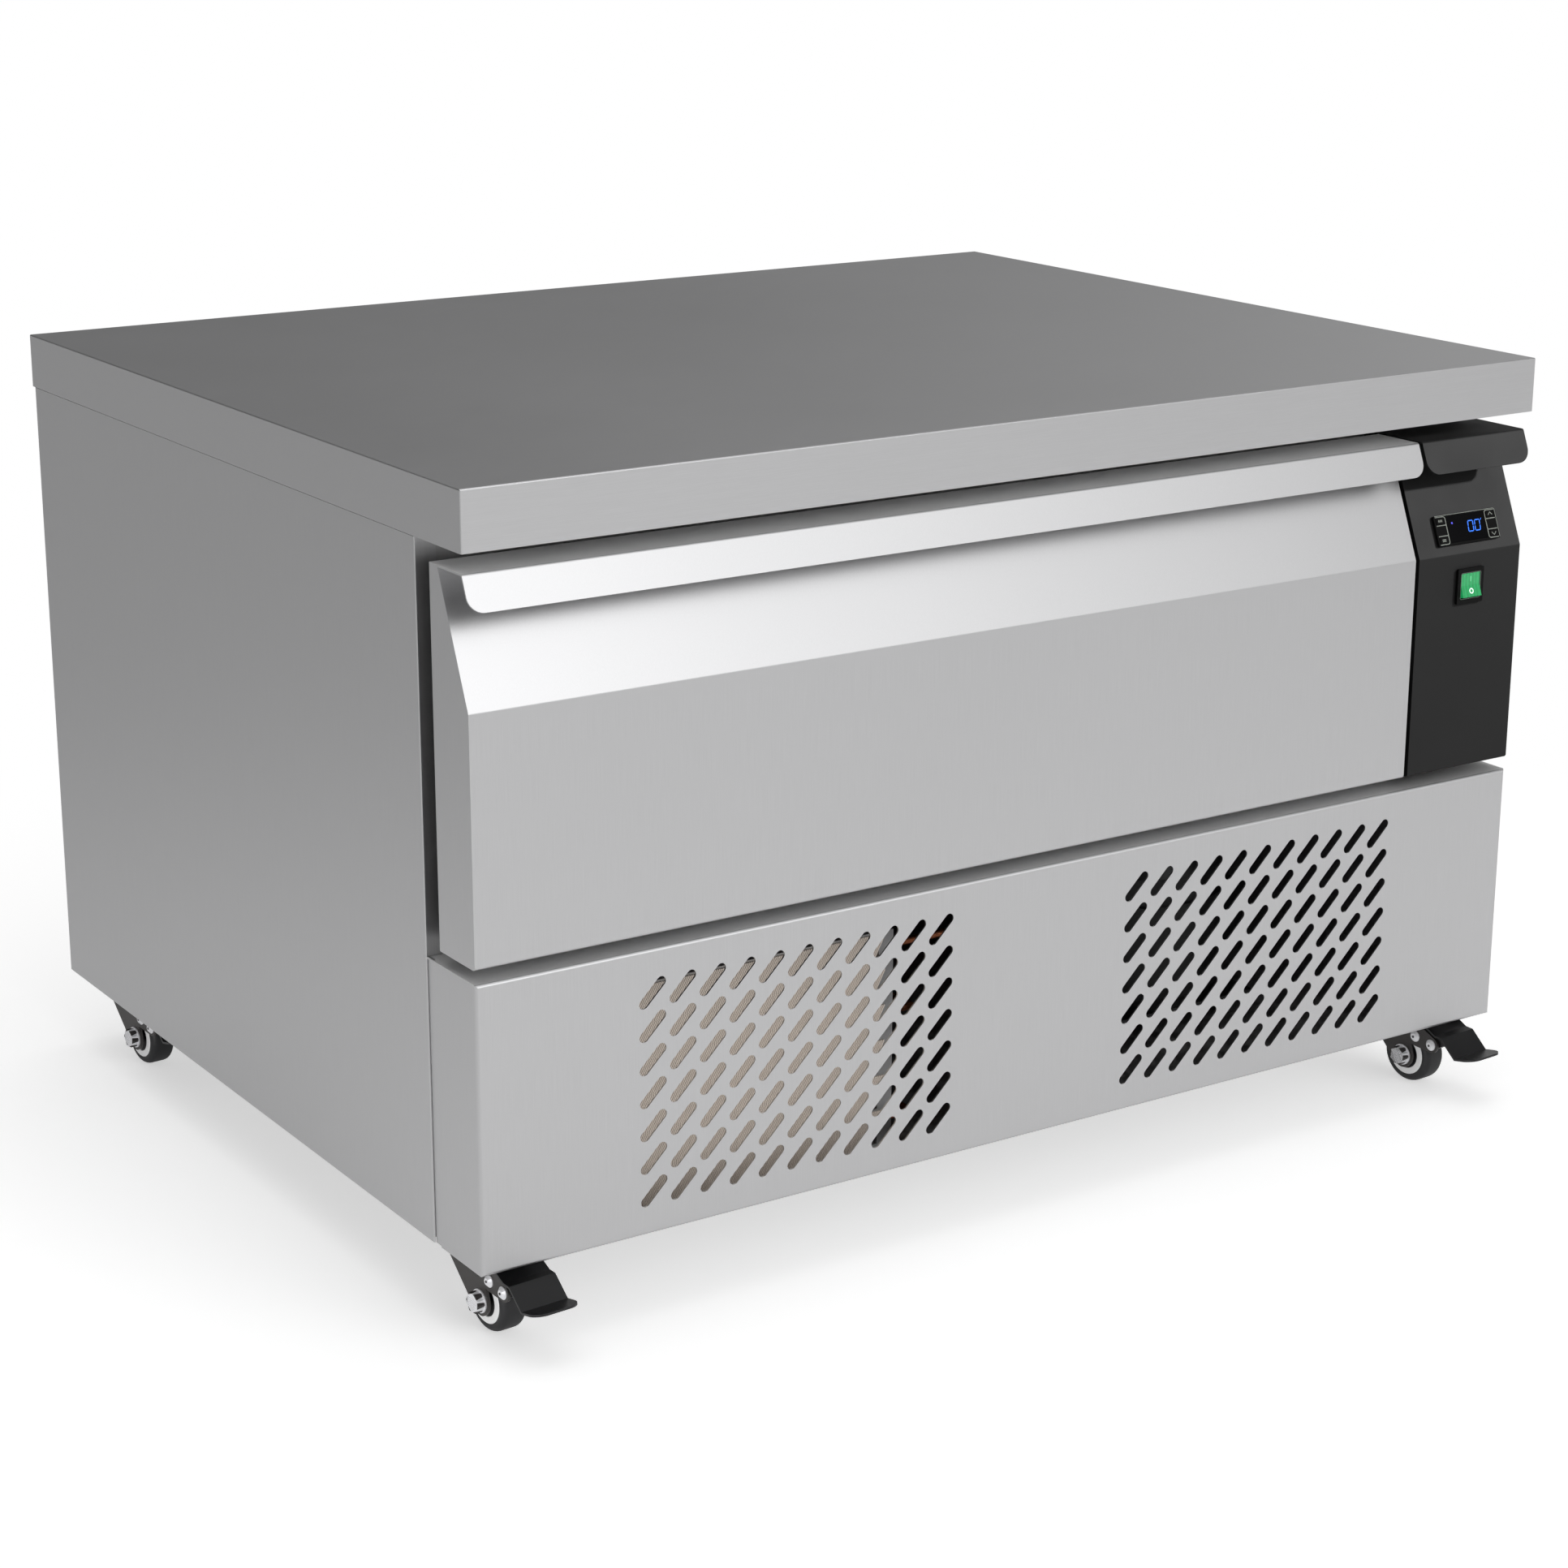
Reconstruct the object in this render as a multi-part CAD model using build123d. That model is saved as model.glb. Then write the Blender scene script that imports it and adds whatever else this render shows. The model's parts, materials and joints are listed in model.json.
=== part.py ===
# Low refrigerated counter with one wide drawer, a control column and four swivel castors.
# Millimetres. X runs along the front, left to right; Y runs from the front to the back; Z is up.
# Pieces are drawn with Y measured from the worktop's front edge and are moved to the middle when written.
from build123d import *
from math import atan2, cos, degrees, hypot, radians, sin, tan
import os

# Worktop and body
worktop_width = 900
worktop_depth = 700
worktop_height = 577
worktop_edge = 40
worktop_sheet = 1.2
worktop_return = 12
worktop_bend = 1.0
right_overhang = 7.5
rear_overhang = 5
body_sheet = 1.0
skirt_height = 62
cabinet_front = 62
side_return = 15

# Insulated chamber
liner_sheet = 0.8
side_wall = 38.8
rear_wall = 41
chamber_floor = 295
chamber_roof = 500
deck_height = 252.8
deck_sheet = 1.2
frame_sheet = 1.2
coil_bay = 103
coil_bay_wall = 40
right_wall = 40.5

# Fronts: drawer, control cover and lower panel
front_proud = 3.6
front_sheet = 1.2
front_bend = 2.5
drawer_box_depth = 46.6
drawer_bottom = 271
drawer_front_height = 253.5
slope_rise = 87
slope_angle = 22.7
shelf_front = 0.7
lip_length = 25
lip_corner = 11
lip_bend = 2.0
control_width = 102.3
control_gap = 3.7
panel_top = 261.5
panel_flange = 15
panel_joggle = 1.0
panel_joggle_depth = 9
door_flange = 10

# Ventilation slots of the lower panel
slot_length = 23
slot_width = 4.4
slot_slant = 47.5
slot_pitch_x = 23.1
slot_pitch_z = 23.2
slot_columns = 11
slot_rows = 7
slot_group_offset = 201.3

# Drawer interior
gasket_inset_side = 20
gasket_inset_top = 8.5
gasket_width = 14
gasket_lip = 3
gasket_waist = 3
inner_panel_inset = 1
rib_inset = 26
rib_bottom = 330
rib_top = 350
rib_rise = 3
rib_corner = 4
runner_height = 45
runner_depth = 12.5
runner_sheet = 1.5
runner_length = 550
runner_front = 70
runner_base = 385
frame_plate = 1.5
frame_lead = 6
frame_top = 470
frame_height = 95
pan_length = 530
pan_play = 3
pan_ledge = 12
divider_width = 22
divider_leg = 12

# Castors
castor_inset = 34
castor_front = 62
castor_rear = 640
castor_turn = 4
castor_height = 66
wheel_diameter = 46
wheel_width = 20
wheel_trail = 20
wheel_shoulder = 5
hub_recess = 1.4
ring_inner = 8
axle_radius = 4
fork_sheet = 2
fork_head_top = 61
fork_side_play = 2
plate_size = 60
plate_sheet = 2.5
plate_corner = 5
kingpin_radius = 5
kingpin_head_flats = 15
kingpin_head_height = 2.2
race_radius = 17
fork_head_front = 20
fork_back = 21
fork_throat = 47
leg_end_radius = 10.5
arm_end_radius = 6.5
arm_root = 8
arm_low = 35.5
axle_nut_flats = 13
axle_nut_height = 6
brake_ahead = 29
brake_above = 16.5
brake_pin = 2.5
pedal_hub_radius = 4.6
pedal_width = 36
pedal_sheet = 1.6
pedal_corner = 10
pedal_cam_width = 6
pedal_cam_depth = 14

# Controls
controller_width = 62
controller_height = 23.2
controller_up = 18.6
controller_depth = 40
controller_rim_x = 2.5
controller_rim_y = 1.5
controller_corner = 1.6
bezel_thick = 2
lens_width = 37
lens_thick = 1.0
key_width = 7.6
key_height = 5.4
key_thick = 1.4
key_proud = 0.3
key_corner = 0.8
key_offset_x = 25.3
key_offset_y = 7.4
key_travel = 0.5
switch_width = 26
switch_height = 27
switch_centre_height = 412.5
switch_corner = 1.2
switch_body = 21.5
switch_depth = 26
switch_well = 10
rocker_width = 18.6
rocker_half_height = 8.9
rocker_tilt = 10
rocker_pivot_depth = 1.0
rocker_ridge = 3.2
rocker_crest = 4.6
rocker_shoulder = 1.5
rocker_root = 3.5
rocker_swing = 1.2

# Machine bay
tray_sheet = 1.5
tray_lip = 14
tray_front_gap = 2
condenser_width = 280
condenser_height = 160
condenser_depth = 26
condenser_left = 60
condenser_front = 24
condenser_passes = 7
evaporator_width = 250
evaporator_height = 150
evaporator_depth = 60
evaporator_passes = 5
tube_thick = 3.2
header_width = 12
fin_folds = 11
fin_sheet = 0.6
fin_inset = 1
hanger_sheet = 2
evaporator_right_gap = 6
evaporator_rear_gap = 60
shroud_sheet = 1.2
shroud_gap = 4
shroud_depth = 22
return_slots = 9
return_slot_pitch = 22
return_slot_width = 9
return_slot_height = 66
condenser_fan_radius = 72
condenser_fan_back = 3
condenser_fan_rise = 2
evaporator_fan_radius = 38
evaporator_fan_rise = 45
evaporator_fan_inset = 40
evaporator_fan_gap = 4
fan_tip_gap = 2
fan_blades = 4
fan_hub_radius = 20
fan_depth = 20
fan_hub_root = 2
blade_pitch = 30
blade_chord = 0.56
blade_sheet = 1.4
motor_gap = 2
motor_radius = 26
motor_length = 40
motor_shaft = 3
motor_foot_sheet = 4
motor_foot_back = 12
motor_foot_width = 40
motor_base_width = 60
motor_base_length = 28
motor_arm_width = 16
motor_pad_width = 48
motor_pad_height = 24
compressor_x = 195
compressor_y = 150
compressor_radius = 76
compressor_height = 146
cup_corner = 16
seam_height = 84
seam_proud = 3
seam_thick = 7
lid_shoulder = 34
lid_step_in = 8
lid_step_down = 12
lid_crown_in = 30
foot_spread_x = 70
foot_spread_y = 45
foot_plate_rim = 15
foot_plate_sheet = 4
foot_height = 14
foot_radius = 9
plug_cover_out = 26
plug_cover_in = 12
plug_cover_width = 56
plug_cover_bottom = 30
plug_cover_top = 80
pipe_radius = 4
thin_pipe_radius = 3
pipe_side_gap = 24
discharge_rise = 15
liquid_rise = 16
suction_rise = 40
pipe_feet_back = 30
suction_foot_inset = 22
liquid_foot_inset = 50
suction_end = 34
liquid_end = 20
drier_y = 330
drier_radius = 10
drier_length = 90
dish_left = 70
dish_front = 420
dish_length = 260
dish_width = 220
dish_height = 28
dish_wall = 1.5
dish_corner = 14
terminal_x = 290
terminal_width = 120
terminal_depth = 70
terminal_height = 56
terminal_rear_gap = 64
terminal_corner = 4
gland_rise = 34
gland_radius = 10
gland_flats = 24
gland_bore = 4.5
gland_nut = 6
lock_nut = 5
gland_proud = 18
rear_slot_count = 8
rear_slot_length = 110
rear_slot_height = 6
rear_slot_pitch = 16

# Clearances, and how far a cutter reaches past what it cuts
seat = 0.3
run = 0.05
glide = 0.3
past = 20

# Places worked out from the sizes above
left_edge = -worktop_width / 2
right_edge = worktop_width / 2
cabinet_right = right_edge - right_overhang
cabinet_back = worktop_depth - rear_overhang
body_top = worktop_height - worktop_edge
inner_left = left_edge + body_sheet + seat
inner_right = cabinet_right - body_sheet - seat
inner_back = cabinet_back - body_sheet - seat
face_front = -front_proud
drawer_left = left_edge + 0.4
drawer_right = cabinet_right - control_width - control_gap
control_left = cabinet_right - control_width
shelf_top = drawer_bottom + drawer_front_height
bend_height = shelf_top - slope_rise
slope_back = face_front + slope_rise * tan(radians(slope_angle))
box_back = face_front + drawer_box_depth
door_back = box_back + seat + frame_sheet
frame_front = cabinet_front + body_sheet + seat
frame_back = frame_front + frame_sheet
foam_front = frame_back + seat
chamber_left = left_edge + side_wall
chamber_right = cabinet_right - right_wall
chamber_back = cabinet_back - rear_wall
bay_left = chamber_right - coil_bay
bay_front = foam_front + coil_bay_wall
cover_left = bay_left - seat - body_sheet
tray_base = castor_height
tray_top = tray_base + tray_sheet
axle_height = wheel_diameter / 2


def block(x0, x1, y0, y1, z0, z1):
    """A box between two corners."""
    return Pos((x0 + x1) / 2, (y0 + y1) / 2, (z0 + z1) / 2) * Box(x1 - x0, y1 - y0, z1 - z0)


def tube(x, y, z0, z1, radius):
    """An upright cylinder."""
    return Pos(x, y, (z0 + z1) / 2) * Cylinder(radius, z1 - z0)


def outline(points, x0, x1, rounds=()):
    """A Y-Z outline pushed along X, with some of its corners rounded."""
    face = make_face(Polyline(*points, close=True))
    for corner, radius in rounds:
        vertex = min(face.vertices(), key=lambda v: hypot(v.X - corner[0], v.Y - corner[1]))
        face = fillet(vertex, radius)
    return extrude(Plane.YZ.offset(x0) * face, x1 - x0)


def hexagon(flats):
    """A hexagon's face, sized across its flats."""
    return RegularPolygon(flats / 2, 6, major_radius=False)


def group(solids):
    """Separate pieces kept together under one name."""
    return Compound([part for solid in solids for part in solid.solids()])


# Worktop
def worktop_skin():
    z0, z1 = body_top, worktop_height
    t = worktop_sheet
    skin = block(left_edge, right_edge, 0, worktop_depth, z0, z1)
    rim = skin.edges().group_by(Axis.Z)[-1] + skin.edges().filter_by(Axis.Z)
    skin = fillet(rim, worktop_bend)
    skin -= block(left_edge + t, right_edge - t, t, worktop_depth - t, z0 + t, z1 - t)
    r = worktop_return
    return skin - block(left_edge + r, right_edge - r, r, worktop_depth - r, z0 - 1, z0 + t + 1)


def worktop_core():
    t = worktop_sheet + seat
    return block(left_edge + t, right_edge - t, t, worktop_depth - t, body_top + t, worktop_height - t)


# Body panels
def side_panel(outer, inward):
    """A side sheet with an inward fold at the front and at the back."""
    t = body_sheet
    z0, z1 = skirt_height, body_top - seat
    xs = sorted((outer, outer + inward * t))
    fold = sorted((outer, outer + inward * side_return))
    side = block(*xs, cabinet_front, cabinet_back, z0, z1)
    # The front fold stops above the castor plate.
    side += block(*fold, cabinet_front, cabinet_front + t, tray_base, z1)
    side += block(*fold, cabinet_back - t, cabinet_back, z0, z1)
    corners = side.edges().filter_by(Axis.Z).filter_by(lambda e: abs(e.center().X - outer) < 0.01)
    return fillet(corners, 0.9 * t)


def rear_panel():
    """A sheet inside the side folds, with two stacks of air slots behind the machine bay."""
    back = inner_back
    sheet = block(inner_left, inner_right, back - body_sheet, back, tray_top + seat, body_top - seat)
    middle = (inner_left + inner_right) / 2
    bay_middle = (tray_top + deck_height) / 2
    cuts = [
        Pos(x, back - body_sheet / 2, bay_middle + (i - (rear_slot_count - 1) / 2) * rear_slot_pitch)
        * Box(rear_slot_length, 4 * body_sheet, rear_slot_height)
        for x in (middle - rear_slot_length, middle + rear_slot_length)
        for i in range(rear_slot_count)
    ]
    return sheet - cuts - gland_hole()


def chamber_plan(grow, front):
    """The chamber's L-shaped plan, grown by a wall, from its roof line to its floor line."""
    g = grow
    points = [
        (chamber_left - g, front),
        (bay_left + g, front),
        (bay_left + g, bay_front - g),
        (chamber_right + g, bay_front - g),
        (chamber_right + g, chamber_back + g),
        (chamber_left - g, chamber_back + g),
    ]
    face = make_face(Polyline(*points, close=True))
    return extrude(Plane.XY.offset(chamber_floor - g) * face, chamber_roof - chamber_floor + 2 * g)


def pipe_shaft():
    """The opening that the two refrigerant pipes share through deck, foam and liner."""
    g = pipe_radius + seat
    (x1, y), (x0, _) = suction_foot, liquid_foot
    return block(x0 - g, x1 + g, y - g, y + g, deck_height - 5, chamber_floor + 5)


def cabinet_foam():
    foam = block(
        inner_left, inner_right, foam_front, inner_back - body_sheet - seat,
        deck_height + deck_sheet + seat, body_top - seat,
    )
    return foam - chamber_plan(liner_sheet + seat, foam_front - 5) - pipe_shaft()


def chamber_liner():
    shell = chamber_plan(liner_sheet, foam_front)
    return shell - chamber_plan(0, foam_front - 5) - pipe_shaft()


def front_frame():
    plate = block(inner_left, inner_right, frame_front, frame_back, deck_height, body_top - seat)
    return plate - block(chamber_left, bay_left, frame_front - 1, frame_back + 1, chamber_floor, chamber_roof)


def machine_deck():
    deck = block(
        inner_left, inner_right, foam_front, inner_back - body_sheet - seat,
        deck_height, deck_height + deck_sheet,
    )
    return deck - pipe_shaft()


def base_tray():
    """The floor of the machine bay, with an upstand along each side and at the front and back."""
    x0, x1 = inner_left, inner_right
    y0, y1 = face_front + front_sheet + tray_front_gap, inner_back - body_sheet - seat
    t = tray_sheet
    tray = block(x0, x1, y0, y1, tray_base, tray_base + tray_lip)
    tray -= block(x0 + t, x1 - t, y0 + t, y1 - t, tray_base + t, tray_base + tray_lip + 1)
    # The sides step in beside the lower panel's folded ends and clear the side panels' front folds.
    step_back = cabinet_front + body_sheet + seat
    for a, b in ((x0 - 1, left_edge + side_return + seat), (cabinet_right - side_return - seat, x1 + 1)):
        tray -= block(a, b, y0 - 1, step_back, tray_base - 1, tray_base + tray_lip + 1)
    return tray


# Lower panel
def vent_slot():
    """A slanted slot with drawn-in ends, cut by a punch with a narrow flat tip."""
    straight, half, tip = slot_length / 2 - slot_width / 2, slot_width / 2, slot_length / 2
    end = [(straight, -half), (tip, 0), (straight, half)]
    return make_face(Polyline(*end, *[(-x, -y) for x, y in end], close=True))


def lower_panel():
    """The folded front of the machine bay with its two groups of slanted slots."""
    x0, x1 = drawer_left, cabinet_right
    y0, y1 = face_front, cabinet_front - seat
    z0, z1 = skirt_height, panel_top
    t = front_sheet
    panel = block(x0, x1, y0, y1, z0, z1)
    front = panel.faces().sort_by(Axis.Y)[0]
    panel = fillet(front.edges(), front_bend)
    inside = block(x0 + t, x1 - t, y0 + t, y1 + 1, z0 + t, z1 - t)
    inside_front = inside.faces().sort_by(Axis.Y)[0]
    panel -= fillet(inside_front.edges(), front_bend - t)
    # The bottom fold is only a narrow flange.
    panel -= block(x0 + t, x1 - t, y0 + panel_flange, y1 + 1, z0 - 1, z0 + t + 1)
    # The ends are joggled inwards where they tuck in beside the side panels.
    j, back = panel_joggle, y1 - panel_joggle_depth
    for outer, inward in ((x0, 1), (x1, -1)):
        step = sorted((outer - inward, outer + inward * j))
        panel -= block(*step, back, y1 + 1, z0 - 1, z1 + 1)
        tuck = sorted((outer + inward * j, outer + inward * (j + t)))
        panel += block(*tuck, back - t, y1, z0, z1 - t)
    middle_x, middle_z = (x0 + x1) / 2, (z0 + z1) / 2
    slot = Rot(0, 0, slot_slant) * vent_slot()
    slots = [
        Pos(middle_x + side * slot_group_offset + place.position.X, middle_z + place.position.Y) * slot
        for side in (-1, 1)
        for place in GridLocations(slot_pitch_x, slot_pitch_z, slot_columns, slot_rows)
    ]
    cutters = [extrude(Plane.XZ.offset(-y0) * s, 2 * t, both=True) for s in slots]
    return panel - cutters


# Fronts with the folded handle
def front_profile(inset, back):
    """The box part of a front: upright face, sloped face and level top, inset by a wall."""
    t = inset
    lean = radians(slope_angle)
    # Points where the inset upright, slope and top meet.
    bend_y = face_front + t
    bend_z = bend_height - t * tan(lean / 2)
    top_z = shelf_top - t
    top_y = bend_y + (top_z - bend_z) * tan(lean)
    low_z = drawer_bottom + t
    return [(back, low_z), (bend_y, low_z), (bend_y, bend_z), (top_y, top_z), (back, top_z)]


def handle_fold(x0, x1):
    """The level shelf that runs forward over the slope and the lip that hangs from it."""
    t = front_sheet
    lean = radians(slope_angle)
    down = (-sin(lean), -cos(lean))
    tip = (shelf_front + lip_length * down[0], shelf_top + lip_length * down[1])
    tip_inner = (tip[0] + t * cos(lean), tip[1] - t * sin(lean))
    inner_z = shelf_top - t
    inner_y = tip_inner[0] + (inner_z - tip_inner[1]) * tan(lean)
    root = slope_back + 1
    crest, inner_crest = (shelf_front, shelf_top), (inner_y, inner_z)
    points = [(root, inner_z), (root, shelf_top), crest, tip, tip_inner, inner_crest]
    rounds = [(crest, lip_bend), (inner_crest, lip_bend - t)]
    fold = outline(points, x0, x1, rounds)
    low = fold.edges().filter_by(lambda e: abs(e.length - t) < 0.01 and e.center().Z < tip[1] + 1)
    return fillet(low, lip_corner)


def front_shell(x0, x1, back, flange):
    """A hollow folded front, open at the back inside a flange."""
    t = front_sheet
    outer = front_profile(0, back)
    inner = front_profile(t, back + 1 if flange == 0 else back - t)
    bends = [(outer[1], front_bend), (outer[2], front_bend)]
    inner_bends = [(inner[1], front_bend - t), (inner[2], front_bend - t)]
    shell = outline(outer, x0, x1, bends) - outline(inner, x0 + t, x1 - t, inner_bends)
    if flange:
        low, high = drawer_bottom + flange, shelf_top - flange
        shell -= block(x0 + flange, x1 - flange, back - 2 * t, back + 1, low, high)
    return shell + handle_fold(x0, x1)


def drawer_front_skin():
    return front_shell(drawer_left, drawer_right, box_back, door_flange)


def drawer_front_foam():
    t = front_sheet + seat
    back = box_back - front_sheet - seat
    profile = front_profile(t, back)
    bends = [(profile[1], front_bend - front_sheet), (profile[2], front_bend - front_sheet)]
    return outline(profile, drawer_left + t, drawer_right - t, bends)


def drawer_inner_panel():
    """The flat back of the drawer front, pressed in a shallow rib inside the gasket."""
    y0, y1 = box_back + seat, door_back
    i = inner_panel_inset
    panel = block(drawer_left + i, drawer_right - i, y0, y1, drawer_bottom + i, shelf_top - i)
    s = gasket_inset_side + gasket_width + rib_inset
    rib = block(drawer_left + s, drawer_right - s, y1, y1 + rib_rise, rib_bottom, rib_top)
    return panel + fillet(rib.edges().filter_by(Axis.Y), rib_corner)


def gasket_box(inset, y0, y1):
    s, v = gasket_inset_side + inset, gasket_inset_top + inset
    return block(drawer_left + s, drawer_right - s, y0, y1, drawer_bottom + v, shelf_top - v)


def drawer_gasket():
    """A bellows seal: a base strip, a waist and a wide magnetic face."""
    y0, y1 = door_back + seat, frame_front - seat
    seal = gasket_box(0, y0, y1) - gasket_box(gasket_width, y0 - 1, y1 + 1)
    groove0, groove1 = y0 + gasket_lip, y1 - 2 * gasket_lip
    seal -= gasket_box(-1, groove0, groove1) - gasket_box(gasket_waist, groove0 - 1, groove1 + 1)
    return seal


# Runners and drawer frame
def runner_channel(depth0, depth1, gap, web_outside):
    """One C-shaped member: its depth from the mounting face and how far it sits inside the outer member."""
    t = runner_sheet
    z0, z1 = runner_base + gap, runner_base + runner_height - gap
    member = block(depth0, depth1, 0, runner_length, z0, z1)
    hollow = (depth0 + t, depth1 + 1) if web_outside else (depth0 - 1, depth1 - t)
    return member - block(*hollow, -1, runner_length + 1, z0 + t, z1 - t)


def runner_members():
    """Outer, middle and inner members as they nest, mounting face at zero depth."""
    t, g = runner_sheet, glide
    outer = runner_channel(0, runner_depth - t, 0, True)
    middle = runner_channel(t + g, runner_depth - t - g, t + g, True)
    inner = runner_channel(2 * (t + g), runner_depth, 2 * (t + g), False)
    return outer, middle, inner


def place_runner(member, side):
    """Hang a member on the left liner wall or, mirrored, on the coil bay's cover."""
    if side == "left":
        return Pos(chamber_left + seat, runner_front, 0) * member
    return Pos(cover_left - seat, runner_front, 0) * mirror(member, Plane.YZ)


frame_left = chamber_left + seat + runner_depth + seat
frame_right = cover_left - seat - runner_depth - seat
pan_front = runner_front + frame_lead
pan_back = pan_front + frame_plate + pan_length + pan_play


def drawer_frame():
    """Two side rails and two cross rails: their in-turned top edges carry the food pans' rims."""
    t, top, low, r = frame_plate, frame_top, frame_top - frame_height, pan_ledge
    front, back = door_back + seat, pan_back + t
    rails = []
    for outer, inward in ((frame_left, 1), (frame_right, -1)):
        rail = block(*sorted((outer, outer + inward * t)), front, back, low, top)
        rail += block(*sorted((outer, outer + inward * r)), pan_front, back, top - t, top)
        # The foot screws to the drawer front's inner panel.
        rail += block(*sorted((outer, outer + inward * 2 * r)), front, front + t, low, top)
        rails.append(rail)
    # A cross rail fits between the side rails: its wall goes under their ledges and its own ledge meets them.
    x0, x1 = frame_left + t + seat, frame_right - t - seat
    ledge0, ledge1 = frame_left + r + seat, frame_right - r - seat
    for outer, inward in ((pan_front, 1), (back, -1)):
        wall = sorted((outer, outer + inward * t))
        rail = block(x0, x1, *wall, low, top - t - seat) + block(ledge0, ledge1, *wall, low, top)
        rails.append(rail + block(ledge0, ledge1, *sorted((outer, outer + inward * r)), top - t, top))
    return group(rails)


def pan_divider():
    """A loose inverted channel across the frame between two pans."""
    t, z = frame_plate, frame_top + seat
    middle, half = (frame_left + frame_right) / 2, divider_width / 2
    y0, y1 = pan_front + frame_plate + 1, pan_back - 1
    bar = block(middle - half, middle + half, y0, y1, z, z + t)
    legs0, legs1 = y0 + pan_ledge, y1 - pan_ledge
    for x in (middle - half, middle + half - t):
        bar += block(x, x + t, legs0, legs1, z - divider_leg, z + t)
    return bar


# Control column
def slope_plane(up, centre_x):
    """A plane on the sloped face: X along the front, Y up the slope, Z outwards."""
    lean = radians(slope_angle)
    origin = (centre_x, face_front + up * sin(lean), bend_height + up * cos(lean))
    return Plane(origin=origin, x_dir=(1, 0, 0), z_dir=(0, -cos(lean), sin(lean)))


control_middle = (control_left + cabinet_right) / 2
controller_body_x = controller_width - 2 * controller_rim_x
controller_body_y = controller_height - 2 * controller_rim_y
controller_plane = slope_plane(controller_up, control_middle)
key_places = {
    "left_upper": (-key_offset_x, key_offset_y),
    "left_lower": (-key_offset_x, -key_offset_y),
    "up": (key_offset_x, key_offset_y),
    "down": (key_offset_x, -key_offset_y),
}


def on_slope(solid):
    return controller_plane.location * solid


def control_cover():
    cover = front_shell(control_left, cabinet_right, cabinet_front - seat, 0)
    cover -= on_slope(Box(controller_body_x + 2 * seat, controller_body_y + 2 * seat, 8 * front_sheet))
    s = switch_body + 2 * seat
    return cover - Pos(control_middle, face_front, switch_centre_height) * Box(s, 8 * front_sheet, s)


def controller_housing():
    """A rounded bezel, its body behind the cover, a window recess and a well for each key."""
    bezel = Pos(0, 0, seat + bezel_thick / 2) * Box(controller_width, controller_height, bezel_thick)
    bezel = fillet(bezel.edges().filter_by(Axis.Z), controller_corner)
    depth = controller_depth + seat
    body = Pos(0, 0, seat - depth / 2) * Box(controller_body_x, controller_body_y, depth)
    housing = bezel + body
    top = seat + bezel_thick
    housing -= Pos(0, 0, top) * Box(lens_width + 2 * seat, controller_body_y, 2 * lens_thick + 2 * seat)
    well = Box(key_width + 2 * seat, key_height + 2 * seat, 2 * (key_thick + key_travel + seat))
    for x, y in key_places.values():
        housing -= Pos(x, y, top) * well
    return on_slope(housing)


def controller_lens():
    top = seat + bezel_thick
    lens = Pos(0, 0, top - lens_thick / 2) * Box(lens_width, controller_body_y - 2 * seat, lens_thick)
    return on_slope(lens)


def controller_key(name):
    x, y = key_places[name]
    top = seat + bezel_thick + key_proud
    key = Pos(x, y, top - key_thick / 2) * Box(key_width, key_height, key_thick)
    return on_slope(fillet(key.edges().filter_by(Axis.Z), key_corner))


def switch_housing():
    """The bezel, body and open well of the mains switch."""
    y0 = face_front - seat - bezel_thick
    z = switch_centre_height
    bezel = Pos(control_middle, y0 + bezel_thick / 2, z) * Box(switch_width, bezel_thick, switch_height)
    bezel = fillet(bezel.edges().filter_by(Axis.Y), switch_corner)
    body_front, body_back, half = y0 + bezel_thick - seat, y0 + switch_depth, switch_body / 2
    body = block(control_middle - half, control_middle + half, body_front, body_back, z - half, z + half)
    w, h = rocker_width / 2 + seat, rocker_half_height + rocker_swing
    well = block(control_middle - w, control_middle + w, y0 - 1, y0 + switch_well, z - h, z + h)
    return bezel + body - well


def switch_rocker():
    """A rocker with two faces meeting at its middle, shown with its upper half pressed in."""
    h, y = rocker_half_height, face_front + rocker_pivot_depth
    lower = [(y + rocker_root, -h / 2), (y + rocker_shoulder, -h), (y - rocker_crest, -h)]
    upper = [(a, -b) for a, b in reversed(lower)]
    points = [*lower, (y - rocker_ridge, 0), *upper]
    rocker = outline(points, control_middle - rocker_width / 2, control_middle + rocker_width / 2)
    turned = Pos(0, y, 0) * Rot(-rocker_tilt, 0, 0) * Pos(0, -y, 0) * rocker
    return Pos(0, 0, switch_centre_height) * turned


# Castors
def castor_places():
    left, right = left_edge + castor_inset, cabinet_right - castor_inset
    return [(left, castor_front), (right, castor_front), (left, castor_rear), (right, castor_rear)]


def castor_plate():
    """Top plate with its upper race and the kingpin that the fork hangs on."""
    z1 = castor_height - seat
    z0 = z1 - plate_sheet
    h = plate_size / 2
    plate = chamfer(block(-h, h, -h, h, z0, z1).edges().filter_by(Axis.Z), plate_corner)
    plate += tube(0, 0, fork_head_top + seat, z0, race_radius)
    head_top = fork_head_top - fork_sheet - seat
    plate += tube(0, 0, head_top, fork_head_top + seat, kingpin_radius)
    head = Plane.XY.offset(head_top - kingpin_head_height) * hexagon(kingpin_head_flats)
    return plate + extrude(head, kingpin_head_height)


axle_centre = (wheel_trail, axle_height)
brake_centre = (wheel_trail + brake_ahead, axle_height + brake_above)
fork_gap = wheel_width / 2 + fork_side_play
fork_outside = fork_gap + fork_sheet
across = Rot(90, 0, 0)


def crosswise(centre, radius, length, y=0):
    """A cylinder along Y, its middle at y, through a point of the castor's side view."""
    return Pos(centre[0], y, centre[1]) * across * Cylinder(radius, length)


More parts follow.
